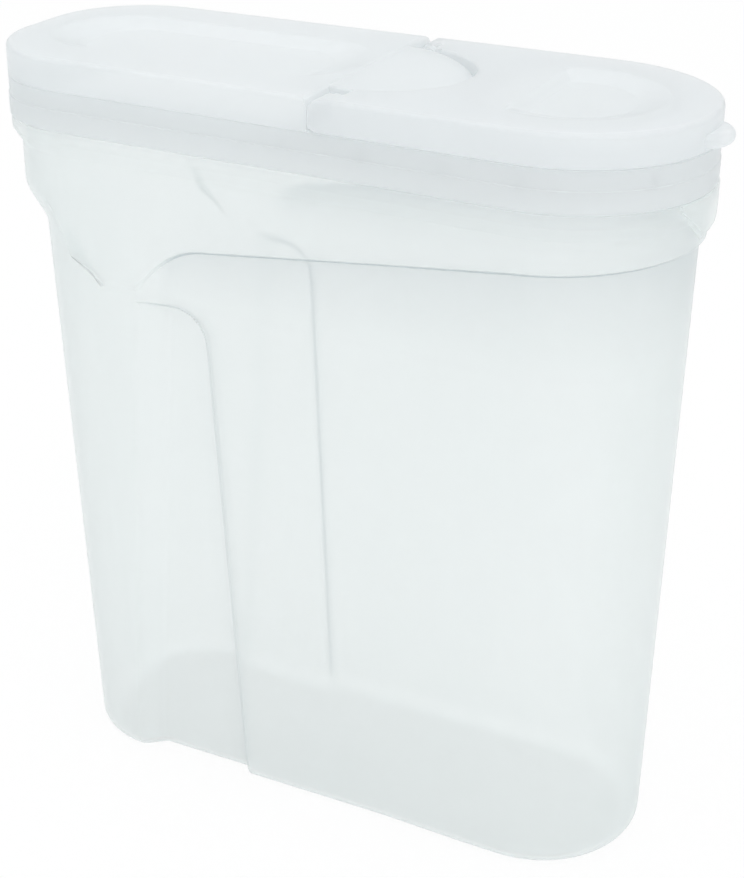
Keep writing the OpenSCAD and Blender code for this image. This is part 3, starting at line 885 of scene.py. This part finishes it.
@dataclass
class Solid:
    """A closed moulded form under construction."""

    obj: bpy.types.Object

    @classmethod
    def from_rings(cls, rings: list[np.ndarray]) -> "Solid":
        """Make a solid through a stack of rings.

        Args:
            rings: Arrays of X, Y and Z with the same number of points, from one end on.

        Returns:
            The closed solid.
        """
        sketch = MeshSketch()
        sketch.tube(np.stack(rings))
        return cls(sketch.build("form"))

    def join(self, other: "Solid", how: Join) -> "Solid":
        """Add, cut or keep with another solid, which is used up.

        Args:
            other: The second solid.
            how: What to do with it.

        Returns:
            This solid.
        """
        mod = self.obj.modifiers.new("join", "BOOLEAN")
        mod.operation = how.value
        mod.solver = "MANIFOLD"
        mod.object = other.obj
        graph = bpy.context.evaluated_depsgraph_get()
        data = bpy.data.meshes.new_from_object(self.obj.evaluated_get(graph))
        self.obj.modifiers.clear()
        old, self.obj.data = self.obj.data, data
        bpy.data.meshes.remove(old)
        spent = other.obj.data
        bpy.data.objects.remove(other.obj)
        bpy.data.meshes.remove(spent)
        return self

    def add(self, *others: "Solid") -> "Solid":
        """Join other solids on.

        Args:
            others: The other solids, which are used up.

        Returns:
            This solid.
        """
        for other in others:
            self.join(other, Join.ADD)
        return self

    def cut(self, *others: "Solid") -> "Solid":
        """Cut other solids out.

        Args:
            others: The other solids, which are used up.

        Returns:
            This solid.
        """
        for other in others:
            self.join(other, Join.CUT)
        return self

    def keep(self, other: "Solid") -> "Solid":
        """Keep only what lies inside another solid."""
        return self.join(other, Join.KEEP)

    def mirrored(self) -> "Solid":
        """A copy mirrored about the plane y = 0.

        Returns:
            The copy, on its own.
        """
        data = self.obj.data.copy()
        data.transform(Matrix.Scale(-1.0, 4, Vector((0.0, 1.0, 0.0))))
        data.flip_normals()
        obj = bpy.data.objects.new(self.obj.name, data)
        bpy.context.scene.collection.objects.link(obj)
        return Solid(obj)

    def finish(self, name: str, sharp: float = 32.0) -> bpy.types.Object:
        """Name the solid and set its shading.

        Args:
            name: Name of the finished object.
            sharp: Angle over which an edge stays crisp, in degrees.

        Returns:
            The finished object.
        """
        obj = self.obj
        obj.name = name
        obj.data.name = name
        for polygon in obj.data.polygons:
            polygon.use_smooth = True
        obj.data.set_sharp_from_angle(angle=math.radians(sharp))
        mod = obj.modifiers.new("even shading", "WEIGHTED_NORMAL")
        mod.keep_sharp = True
        mod.weight = 80
        return obj


def at(points: np.ndarray, z: float) -> np.ndarray:
    """Lift flat points to a height."""
    return np.column_stack([points, np.full(len(points), z)])


def circle(cx: float, r: float, z: float, count: int) -> np.ndarray:
    """A level circle of points with its centre over the X axis."""
    a = np.linspace(0.0, 2 * math.pi, count + 1)[:-1]
    return at(np.column_stack([cx + r * np.cos(a), r * np.sin(a)]), z)


def prism_z(ring: np.ndarray, z0: float, z1: float) -> Solid:
    """An upright prism over an outline in X and Y."""
    return Solid.from_rings([at(ring, z0), at(ring, z1)])


def block(x0: float, x1: float, y0: float, y1: float, z0: float, z1: float) -> Solid:
    """A plain block, used for cuts."""
    return prism_z(np.array([[x0, y0], [x1, y0], [x1, y1], [x0, y1]]), z0, z1)


def prism_y(outline: list[tuple[float, float]], y0: float, y1: float) -> Solid:
    """A prism along Y from an outline in X and Z, counter-clockwise seen from -Y.

    Args:
        outline: Pairs of X and Z.
        y0: Lowest Y.
        y1: Highest Y.

    Returns:
        The prism.
    """
    flat = np.array(outline)
    rings = [np.column_stack([flat[:, 0], np.full(len(flat), y), flat[:, 1]]) for y in (y0, y1)]
    return Solid.from_rings(rings)


def rod_y(x: float, z: float, r: float, y0: float, y1: float, soft: float = 0.0) -> Solid:
    """A round rod along Y, with softened ends.

    Args:
        x: X of its axis.
        z: Height of its axis.
        r: Radius.
        y0: Lowest Y.
        y1: Highest Y.
        soft: Size of the bevel at each end.

    Returns:
        The rod.
    """
    a = np.linspace(0.0, 2 * math.pi, 49)[:-1]
    steps = [(y0, r - soft), (y0 + soft, r), (y1 - soft, r), (y1, r - soft)] if soft \
        else [(y0, r), (y1, r)]
    rings = [np.column_stack([x + q * np.cos(a), np.full(48, y), z + q * np.sin(a)])
             for y, q in steps]
    return Solid.from_rings(rings)


def edge_steps(z0: float, z1: float, low: float, high: float, inset: float = 0.0,
               steps: int = 6) -> list[tuple[float, float]]:
    """Heights and insets of a wall with a rounded lower and upper edge.

    Args:
        z0: Lowest height.
        z1: Highest height.
        low: Radius of the lower edge.
        high: Radius of the upper edge.
        inset: Inset of the wall between them.
        steps: Steps in each rounded edge.

    Returns:
        Pairs of height and inset, from below.
    """
    out = []
    for a in np.radians(np.linspace(0.0, 90.0, steps + 1)):
        out.append((z0 + low * (1 - math.cos(a)), inset + low * (1 - math.sin(a))))
    for a in np.radians(np.linspace(90.0, 0.0, steps + 1)):
        out.append((z1 - high * (1 - math.cos(a)), inset + high * (1 - math.sin(a))))
    clean = [out[0]]
    for pair in out[1:]:
        if abs(pair[0] - clean[-1][0]) + abs(pair[1] - clean[-1][1]) > 1e-6:
            clean.append(pair)
    return clean


def plan_solid(profile: list[tuple[float, float]]) -> Solid:
    """A solid over the lid's plan from heights and insets."""
    return Solid.from_rings([at(OUTLINE.points(i), z) for z, i in profile])


def plan_block(inset: float, z0: float, z1: float) -> Solid:
    """An upright prism over the lid's plan, drawn in by an inset."""
    return prism_z(OUTLINE.points(inset), z0, z1)


def bite(cx: float, r: float, x0: float, corner: float) -> np.ndarray:
    """A circle cut off by a straight edge behind, with rounded corners.

    Args:
        cx: X of the circle's centre.
        r: Radius of the circle.
        x0: X of the straight edge.
        corner: Radius of the two corners.

    Returns:
        Points counter-clockwise from the lower corner's end.
    """
    xc = x0 + corner
    yc = math.sqrt(max((r - corner) ** 2 - (xc - cx) ** 2, 0.01))
    phi = math.atan2(yc, xc - cx)
    a = np.linspace(-phi, phi, 73)
    b = np.linspace(phi, math.pi, 15)[1:]
    big = np.column_stack([cx + r * np.cos(a), r * np.sin(a)])
    turn = np.column_stack([xc + corner * np.cos(b), yc + corner * np.sin(b)])
    back = turn[::-1] * np.array([1.0, -1.0])
    line = np.column_stack([np.full(7, x0), np.linspace(yc, -yc, 9)[1:-1]])
    return np.concatenate([big, turn, line, back[:-1]])


def pill(x0: float, x1: float, half: float, corner: float) -> np.ndarray:
    """A rectangle with rounded corners, centred on the X axis.

    Args:
        x0: Lowest X.
        x1: Highest X.
        half: Half its width.
        corner: Radius of its corners.

    Returns:
        Points of shape (points, 2), counter-clockwise.
    """
    out = []
    for sx, sy, start in ((1, 1, 0), (-1, 1, 90), (-1, -1, 180), (1, -1, 270)):
        a = np.radians(np.linspace(start, start + 90, 13))
        cx = x1 - corner if sx > 0 else x0 + corner
        out.append(np.column_stack([cx + corner * np.cos(a),
                                    sy * (half - corner) + corner * np.sin(a)]))
    return np.concatenate(out)


def tongue_plan(cx: float, half: float, x0: float) -> np.ndarray:
    """A half circle in front with straight sides back to an X.

    Args:
        cx: X of the half circle's centre.
        half: Radius, and half the width.
        x0: X where the sides end.

    Returns:
        Points of shape (points, 2), counter-clockwise.
    """
    a = np.radians(np.linspace(-90.0, 90.0, 61))
    tip = np.column_stack([cx + half * np.cos(a), half * np.sin(a)])
    return np.concatenate([tip, np.array([[x0, half], [x0, -half]])])


def dish_steps(depth: float, soft: float = 0.07) -> list[tuple[float, float]]:
    """Heights below the top and shares of the slope of a dish with a soft lip and foot.

    Args:
        depth: Depth of the dish.
        soft: How far the soft lip and foot spread past the slope, as a share of it.

    Returns:
        Pairs of height and share from the floor up, ending above the top.
    """
    out = []
    for t in np.linspace(0.0, 1.0, 15):
        out.append((-depth * (1.0 - float(smooth(t)) * 0.5 - t * 0.5), mix(1 + soft, -soft, t)))
    out.append((2.2, -2 * soft))
    return out


# Lid


@dataclass
class Cover:
    """Sizes and forms that the lid and its flap share."""

    top_z: float = 273.7
    wall: float = 1.6
    cap_inset: float = 0.3
    hinge_x: float = 12.2
    hinge_z: float = 269.5
    tongue_x: float = 11.6
    spout_r: float = 35.0
    spout_x: float = 50.5
    spout_corner: float = 3.0

    def crown(self, low_z: float, low_soft: float) -> Solid:
        """The outside of the raised top, from a height with a soft lower edge up."""
        return plan_solid(edge_steps(low_z, self.top_z, low_soft, 1.7, self.cap_inset, 8))

    def room(self, low_z: float) -> Solid:
        """The hollow inside the raised top, from a height up."""
        return plan_solid(edge_steps(low_z, self.top_z - self.wall, 0.01, 1.0,
                                     self.cap_inset + self.wall, 5))


@dataclass
class Lid(Cover):
    """The press-on lid: skirt, ledge, rear deck with its dish, tongue, spout and knuckles."""

    skirt_z: float = 249.0
    skirt_mid_z: float = 256.4
    plate_z: float = 261.0
    plate_top: float = 262.8
    rim_inset: float = 3.4
    seal_inset: float = 5.7
    seal_wall: float = 1.4
    seal_drop: float = 9.0
    deck_x: float = 7.6
    dish_x0: float = -113.0
    dish_x1: float = 3.6
    dish_half: float = 24.5
    dish_depth: float = 3.2
    dish_slope: float = 13.0
    dish_side_slope: float = 6.5
    tongue_r: float = 30.0
    tongue_fall: float = 5.0
    tongue_len: float = 34.0
    lip_wall: float = 1.4
    lip_h: float = 4.0
    knuckle_y: float = 33.4
    knuckle_w: float = 4.2
    knuckle_r: float = 3.2
    rib_w: float = 4.0
    rib_xs: tuple[float, ...] = (-2.7, 25.8, 52.8, 79.0)
    rib_turn: float = 37.0
    rib_low: float = 6.0
    rib_high: float = 1.0
    bore_r: float = 1.58
    hollow_x: float = -1.9
    hollow_inset: float = 8.6

    def skirt(self) -> Solid:
        """The skirt's two bands with the ledge that sits on the rim.

        Returns:
            The skirt, with the sealing ring under the ledge.
        """
        form = plan_solid([
            (self.skirt_z, 0.45), (self.skirt_z + 0.15, 0.15), (self.skirt_z + 0.45, 0.0),
            (self.skirt_mid_z - 0.35, 0.0), (self.skirt_mid_z - 0.1, 0.06),
            (self.skirt_mid_z + 0.15, self.cap_inset), (self.plate_top - 0.5, self.cap_inset),
            (self.plate_top - 0.15, 0.42), (self.plate_top, 0.7),
        ])
        form.cut(plan_solid([
            (self.skirt_z - 1, self.wall - 0.4), (self.skirt_z + 0.4, self.wall),
            (self.plate_z - 0.6, self.wall), (self.plate_z, self.wall + 0.6),
        ]))
        seal = plan_solid(edge_steps(self.plate_z - self.seal_drop, self.plate_z + 0.9, 0.5, 0.01,
                                     self.seal_inset))
        inside = self.seal_inset + self.seal_wall
        seal.cut(plan_block(inside, self.plate_z - self.seal_drop - 1, self.plate_z + 2))
        return form.add(seal)

    def openings(self) -> list[Solid]:
        """Cuts through the ledge: under the deck, under the tongue and the pour opening.

        Returns:
            The three cuts.
        """
        z0, z1 = self.plate_z - 0.5, self.plate_top + 0.5
        deck = plan_block(self.hollow_inset, z0, z1)
        deck.cut(block(self.hollow_x, 200, -100, 100, z0 - 1, z1 + 1))
        tongue = self.tongue_outline(self.tongue_r - self.wall - 1)
        spout = bite(OUTLINE.front_x, self.spout_r, self.spout_x, self.spout_corner)
        return [
            deck,
            prism_z(tongue, z0, z1),
            prism_z(spout, z0 - 1, z1 + self.lip_h + 1),
        ]

    def lip(self) -> Solid:
        """The raised lip round the pour opening.

        Returns:
            The lip, closed inside until the opening is cut.
        """
        rings = []
        for z, i in edge_steps(self.plate_z + 0.3, self.plate_top + self.lip_h, 0.01, 0.6):
            rings.append(at(bite(OUTLINE.front_x, self.spout_r + self.lip_wall - i,
                                 self.spout_x - self.lip_wall + i,
                                 self.spout_corner + self.lip_wall - i), z))
        return Solid.from_rings(rings)

    def bowl(self, grow: float) -> Solid:
        """The deck's dish, made larger by a thickness.

        Args:
            grow: Thickness to add all round.

        Returns:
            The solid to cut away.
        """
        rings = []
        for z, share in dish_steps(self.dish_depth):
            end, half = self.dish_slope * share - grow, self.dish_half + grow
            half -= self.dish_side_slope * share
            rings.append(at(pill(self.dish_x0 + end, self.dish_x1 - end, half, half - 3.5),
                            self.top_z + z - grow))
        return Solid.from_rings(rings)

    def deck(self) -> Solid:
        """The rear deck: its skirt, top plate, dish and front wall.

        Returns:
            The deck, hollow from below.
        """
        form = self.crown(self.plate_top - 0.02, 0.35)
        front = [
            (-200, 250), (self.deck_x, 250), (self.deck_x, self.top_z - 2.6),
            (self.deck_x - 0.9, self.top_z - 0.8), (self.deck_x - 1.7, self.top_z - 0.15),
            (self.deck_x - 2.6, self.top_z), (self.deck_x - 2.6, 280), (-200, 280),
        ]
        form.keep(prism_y(front, -100, 100))
        hollow = self.room(self.plate_top - 3)
        hollow.cut(block(self.deck_x - self.wall, 200, -100, 100, 200, 300))
        hollow.cut(self.bowl(self.wall))
        return form.cut(hollow, self.bowl(0.0))

    def tongue_outline(self, r: float, back: float = 0.8) -> np.ndarray:
        """The tongue's plan at a radius, run back under the deck."""
        return tongue_plan(self.tongue_x, r, self.deck_x - back)

    def draped(self, flat: np.ndarray, drop: float) -> np.ndarray:
        """Set flat points a distance under the tongue's falling top.

        Args:
            flat: Points of shape (points, 2).
            drop: Distance under the top.

        Returns:
            Points of shape (points, 3).
        """
        t = clamp01((flat[:, 0] - self.deck_x) / self.tongue_len)
        height = self.top_z - self.tongue_fall * (0.35 * t + 0.65 * t * t)
        return np.column_stack([flat, height - drop])

    def tongue(self) -> Solid:
        """The tongue that reaches forward between the hinges.

        Returns:
            The tongue, hollow from below.
        """
        outer, inner, soft, back = self.tongue_r, self.tongue_r - self.wall, 0.9, 1.2
        rings = [at(self.tongue_outline(outer), self.plate_top - 0.3)]
        for down, into in ((1.0, 0.0), (0.62, 0.08), (0.3, 0.3), (0.08, 0.62), (0.0, 1.0)):
            rings.append(self.draped(self.tongue_outline(outer - into * soft), down * soft))
        for t in np.linspace(0.9, 0.0, 10):
            rings.append(self.draped(self.tongue_outline((outer - soft) * max(t, 0.02)), 0.0))
        room = [at(self.tongue_outline(inner, back), self.plate_top - 1)]
        for t in np.linspace(1.0, 0.0, 8):
            room.append(self.draped(self.tongue_outline(inner * max(t, 0.03), back), self.wall))
        return Solid.from_rings(rings).cut(Solid.from_rings(room))

    def knuckle(self) -> Solid:
        """One hinge knuckle with its foot, bored for the pin.

        Returns:
            The knuckle on the +Y side.
        """
        y0, y1 = self.knuckle_y, self.knuckle_y + self.knuckle_w
        form = rod_y(self.hinge_x, self.hinge_z, self.knuckle_r, y0, y1, 0.3)
        form.add(block(self.hinge_x - self.knuckle_r + 0.02, self.hinge_x + self.knuckle_r - 0.02,
                       y0, y1, self.plate_top - 0.6, self.hinge_z))
        return form.cut(rod_y(self.hinge_x, self.hinge_z, self.bore_r, y0 - 1, y1 + 1))

    def snap_ribs(self) -> list[Solid]:
        """The ribs inside the skirt that snap under the rim, for one side.

        Returns:
            The ribs on the +Y side.
        """
        z0, z1 = self.plate_z - self.rib_low, self.plate_z - self.rib_high
        near, far, half = self.rim_inset - 0.3, self.wall / 2, self.rib_w / 2
        out = []
        for x in self.rib_xs:
            y = OUTLINE.side_y(x)
            out.append(block(x - half, x + half, y - near, y - far, z0, z1))
        turn = math.radians(self.rib_turn)
        corner = np.array([[-0.5, -1.0], [0.5, -1.0], [0.5, 1.0], [-0.5, 1.0]])
        local = corner * np.array([near - far, half])
        local += np.array([OUTLINE.front_r - (near + far) / 2, 0.0])
        spin = np.array([[math.cos(turn), math.sin(turn)], [-math.sin(turn), math.cos(turn)]])
        ring = local @ spin + np.array([OUTLINE.front_x, 0.0])
        out.append(prism_z(ring, z0, z1))
        return out

    def build(self) -> bpy.types.Object:
        """Make the whole lid.

        Returns:
            The lid as one moulded object.
        """
        form = self.skirt()
        form.add(self.lip())
        form.cut(*self.openings())
        form.add(self.deck(), self.tongue())
        knuckle = self.knuckle()
        form.add(knuckle.mirrored(), knuckle)
        for rib in self.snap_ribs():
            form.add(rib.mirrored(), rib)
        return form.finish("lid_moulding")


# Flap


@dataclass
class Flap(Cover):
    """The hinged flap: top plate with its dish, skirt, plug, pins and thumb tab."""

    low_z: float = 263.1
    barrel_r: float = 4.2
    cut_r: float = 30.5
    notch_x: float = 16.4
    barrel_y: float = 38.1
    barrel_end: float = 45.6
    pin_r: float = 1.5
    pin_y: float = 33.0
    dish_r: float = 31.0
    dish_x: float = 65.5
    dish_depth: float = 2.5
    dish_slope: float = 9.5
    dish_back_slope: float = 4.5
    plug_gap: float = 0.6
    plug_z: float = 262.2
    tab_x: float = 118.0
    tab_r: float = 12.0
    tab_z: float = 263.85
    tab_t: float = 4.8

    def bowl(self, grow: float) -> Solid:
        """The D-shaped dish in the flap's top, made larger by a thickness.

        Args:
            grow: Thickness to add all round.

        Returns:
            The solid to cut away.
        """
        rings = []
        for z, share in dish_steps(self.dish_depth):
            inset = self.dish_slope * share - grow
            back = self.dish_back_slope * share - grow
            rings.append(at(bite(OUTLINE.front_x, self.dish_r - inset, self.dish_x + back,
                                 5.0 - 2.0 * clamp01(share)), self.top_z + z - grow))
        return Solid.from_rings(rings)

    def side_view(self) -> Solid:
        """What clears the deck and the ledge while the flap turns, as a prism across.

        Returns:
            The prism.
        """
        x, z = self.hinge_x, self.hinge_z
        rim = [(200.0, self.low_z), (200.0, 290.0), (x, 290.0)]
        reach = z - self.low_z
        start = 180.0 + math.degrees(math.acos(self.barrel_r / reach))
        for r, turns in ((self.barrel_r, np.linspace(90.0, 180.0, 13)),
                         (reach, np.linspace(start, 270.0, 8))):
            rim += [(x + r * math.cos(a), z + r * math.sin(a)) for a in np.radians(turns)]
        return prism_y(rim, -100, 100)

    def window(self, grow: float, z0: float, z1: float, soft: float = 0.0) -> Solid:
        """The cut-out round the tongue, with a flared upper edge.

        Args:
            grow: Thickness to add all round.
            z0: Lowest height.
            z1: Height of the flared edge.
            soft: Size of the flare.

        Returns:
            The solid to cut away.
        """
        steps = [(z0, 0.0), (z1, 0.0)]
        if soft:
            steps = [(z0, 0.0), (z1 - soft, 0.0), (z1 - 0.6 * soft, 0.08 * soft),
                     (z1 - 0.3 * soft, 0.3 * soft), (z1 - 0.08 * soft, 0.62 * soft),
                     (z1, soft), (z1 + 1, soft)]
        rings = [at(tongue_plan(self.tongue_x, self.cut_r + grow + s, -40.0), z)
                 for z, s in steps]
        return Solid.from_rings(rings)

    def window_corners(self, grow: float) -> Solid:
        """Straight sides of the cut-out, which pass over the deck's edge as the flap turns."""
        return block(self.tongue_x, self.notch_x + 2.5 + grow, -self.cut_r - grow,
                     self.cut_r + grow, self.low_z - 5, self.top_z + 5)

    def shell(self) -> Solid:
        """The top plate with its skirt and the wall round the cut-out.

        Returns:
            The shell, hollow from below.
        """
        form = self.crown(self.low_z, 0.3)
        form.keep(self.side_view())
        hollow = self.room(self.low_z - 3)
        hollow.cut(self.window(self.wall, self.low_z - 5, self.top_z + 5))
        hollow.cut(self.window_corners(self.wall))
        keep = [
            (self.hinge_x - 2.6, 200.0), (200.0, 200.0), (200.0, 290.0), (self.hinge_x, 290.0),
            (self.hinge_x, self.hinge_z + 2.6), (self.hinge_x - 1.84, self.hinge_z + 1.84),
            (self.hinge_x - 2.6, self.hinge_z),
        ]
        hollow.keep(prism_y(keep, -100, 100))
        hollow.cut(self.bowl(self.wall))
        form.cut(hollow)
        form.cut(self.window(0.0, self.low_z - 5, self.top_z, 0.9))
        form.cut(self.window_corners(0.0))
        notch = pill(-30.0, self.notch_x, self.barrel_y, 2.0)
        return form.cut(prism_z(notch, self.low_z - 5, self.top_z + 5))

    def plug(self) -> Solid:
        """The ring under the plate that closes the pour opening.

        Returns:
            The ring.
        """
        def outline(inset: float) -> np.ndarray:
            """The plug's plan, drawn in by an inset.

            Args:
                inset: Distance inside the plug.

            Returns:
                Points of shape (points, 2).
            """
            gap = self.plug_gap + inset
            return bite(OUTLINE.front_x, self.spout_r - gap, self.spout_x + gap,
                        max(self.spout_corner - gap, 0.8))
        z0, z1 = self.plug_z, self.top_z - self.wall / 2
        form = Solid.from_rings([at(outline(0.4), z0), at(outline(0.1), z0 + 0.3),
                                 at(outline(0.0), z0 + 0.8), at(outline(0.0), z1)])
        return form.cut(prism_z(outline(self.wall), z0 - 1, z1 + 1))

    def hinge_end(self) -> Solid:
        """One barrel with its pin.

        Returns:
            The barrel on the +Y side.
        """
        x, z = self.hinge_x, self.hinge_z
        form = rod_y(x, z, self.barrel_r - 0.6, self.barrel_y, self.barrel_end, 0.3)
        return form.add(rod_y(x, z, self.pin_r, self.pin_y, self.barrel_y + 2, 0.3))

    def thumb_tab(self) -> Solid:
        """The rounded tab that the thumb lifts.

        Returns:
            The tab.
        """
        edge, inset = self.tab_t / 2, self.cap_inset + 0.8
        form = Solid.from_rings([
            circle(self.tab_x, self.tab_r - edge + edge * math.cos(b),
                   self.tab_z + edge + edge * math.sin(b), 96)
            for b in np.radians(np.linspace(-90.0, 90.0, 15))])
        return form.cut(plan_block(inset, self.low_z - 5, self.top_z + 5))

    def build(self) -> bpy.types.Object:
        """Make the whole flap.

        Returns:
            The flap as one moulded object.
        """
        form = self.shell()
        form.add(self.plug())
        form.cut(self.bowl(0.0))
        end = self.hinge_end()
        form.add(end.mirrored(), end, self.thumb_tab())
        return form.finish("flap_moulding")


# Studio


@dataclass
class Studio:
    """Floor, backdrop, lamps and camera."""

    azimuth: float = 25.93
    elevation: float = 26.13
    roll: float = 0.74
    distance: float = 642.2
    aim_x: float = 8.22
    aim_z: float = 135.16
    lens: float = 85.18
    floor_white: float = 0.9
    horizon: float = 0.47
    zenith: float = 1.74

    def camera(self) -> bpy.types.Object:
        """Place the camera at the photograph's viewing angle.

        Returns:
            The camera, set as the scene camera.
        """
        az, el, roll = (math.radians(v) for v in (self.azimuth, self.elevation, self.roll))
        back = Vector((math.sin(az) * math.cos(el), -math.cos(az) * math.cos(el), math.sin(el)))
        right = Vector((math.cos(az), math.sin(az), 0.0))
        up = back.cross(right)
        spot = right * self.aim_x + Vector((0, 0, self.aim_z)) + back * self.distance
        side = right * math.cos(roll) + up * math.sin(roll)
        top = -right * math.sin(roll) + up * math.cos(roll)
        data = bpy.data.cameras.new("Camera")
        data.sensor_fit = "HORIZONTAL"
        data.sensor_width = 36.0
        data.lens = self.lens
        data.clip_start = 0.01
        cam = bpy.data.objects.new("Camera", data)
        cam.matrix_world = Matrix((
            (side.x, top.x, back.x, spot.x * MM),
            (side.y, top.y, back.y, spot.y * MM),
            (side.z, top.z, back.z, spot.z * MM),
            (0, 0, 0, 1),
        ))
        bpy.context.scene.collection.objects.link(cam)
        bpy.context.scene.camera = cam
        return cam

    def floor(self) -> bpy.types.Object:
        """Lay the plain pale floor.

        Returns:
            The floor.
        """
        sketch = MeshSketch()
        s = 3000.0
        sketch.grid(np.array([[[-s, -s, 0], [s, -s, 0]], [[-s, s, 0], [s, s, 0]]], float),
                    closed=False)
        obj = sketch.build("floor")
        mat = bpy.data.materials.new("Pale floor")
        mat.use_nodes = True
        graph = Graph(mat.node_tree)
        shader = mat.node_tree.nodes["Principled BSDF"]
        shader.inputs["Base Color"].default_value = (0.86, 0.87, 0.87, 1.0)
        shader.inputs["Roughness"].default_value = 0.9
        white = graph.add("ShaderNodeEmission", {"Strength": 1.0})
        path = graph.add("ShaderNodeLightPath")
        share = graph.math("MULTIPLY", {1: self.floor_white})
        swap = graph.add("ShaderNodeMixShader")
        graph.wire(
            (path.outputs["Is Camera Ray"], share.inputs[0]),
            (share.outputs[0], swap.inputs[0]),
            (shader.outputs["BSDF"], swap.inputs[1]),
            (white.outputs["Emission"], swap.inputs[2]),
            (swap.outputs["Shader"], mat.node_tree.nodes["Material Output"].inputs["Surface"]),
        )
        dress(obj, mat)
        return obj

    def world(self) -> None:
        """Light the room evenly and keep the background white."""
        world = bpy.data.worlds.new("Studio")
        world.use_nodes = True
        world.node_tree.nodes.clear()
        graph = Graph(world.node_tree)
        out = graph.add("ShaderNodeOutputWorld")
        fill = graph.add("ShaderNodeBackground")
        place = graph.add("ShaderNodeTexCoord")
        split = graph.add("ShaderNodeSeparateXYZ")
        rise = graph.add("ShaderNodeMapRange",
                         {"From Min": 0.0, "To Min": self.horizon, "To Max": self.zenith})
        white = graph.add("ShaderNodeBackground", {"Strength": 1.0})
        path = graph.add("ShaderNodeLightPath")
        swap = graph.add("ShaderNodeMixShader")
        graph.wire(
            (place.outputs["Generated"], split.inputs[0]),
            (split.outputs["Z"], rise.inputs["Value"]),
            (rise.outputs["Result"], fill.inputs["Strength"]),
            (path.outputs["Is Camera Ray"], swap.inputs[0]),
            (fill.outputs[0], swap.inputs[1]),
            (white.outputs[0], swap.inputs[2]),
            (swap.outputs[0], out.inputs["Surface"]),
        )
        bpy.context.scene.world = world

    def lamp(self, name: str, spot: tuple[float, float, float], size: float,
             power: float) -> bpy.types.Object:
        """Hang a square soft lamp that points at the container.

        Args:
            name: Name of the lamp.
            spot: Its place, in metres.
            size: Length of its side, in metres.
            power: Its power, in watts.

        Returns:
            The lamp.
        """
        data = bpy.data.lights.new(name, "AREA")
        data.shape = "SQUARE"
        data.size = size
        data.energy = power
        obj = bpy.data.objects.new(name, data)
        obj.location = spot
        aim = Vector((0.0, 0.0, 0.13)) - Vector(spot)
        obj.rotation_euler = aim.to_track_quat("-Z", "Y").to_euler()
        bpy.context.scene.collection.objects.link(obj)
        return obj

    def build(self) -> None:
        """Set up the whole studio."""
        self.camera()
        self.floor()
        self.world()
        self.lamp("Key", (1.3, -1.3, 1.1), 2.4, 11.0)
        self.lamp("Fill", (-0.9, -1.0, 1.6), 2.4, 4.0)
        scene = bpy.context.scene
        scene.view_settings.view_transform = "Standard"


def main() -> None:
    """Build the container and its studio."""
    logging.basicConfig(level=logging.INFO, format="%(message)s")
    Studio().build()
    tub_plastic = Polypropylene("Tub plastic", (0.875, 0.9, 0.9), 0.35, 0.66, 0.2).build()
    lid_plastic = Polypropylene("Lid plastic", (0.88, 0.895, 0.905), 0.32, 0.4, 0.12).build()
    shell = Tub().build_shell()
    dress(shell, tub_plastic)
    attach(shell, "container")
    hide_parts("container_body")
    log.info("tub shell: %d points", len(shell.data.vertices))
    for maker, body, node in ((Lid(), "lid_body", "lid"), (Flap(), "flap", "spout_flap")):
        piece = maker.build()
        dress(piece, lid_plastic)
        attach(piece, body)
        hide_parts(node)
        log.info("%s: %d points", piece.name, len(piece.data.vertices))
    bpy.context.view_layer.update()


if __name__ == "__main__":
    main()
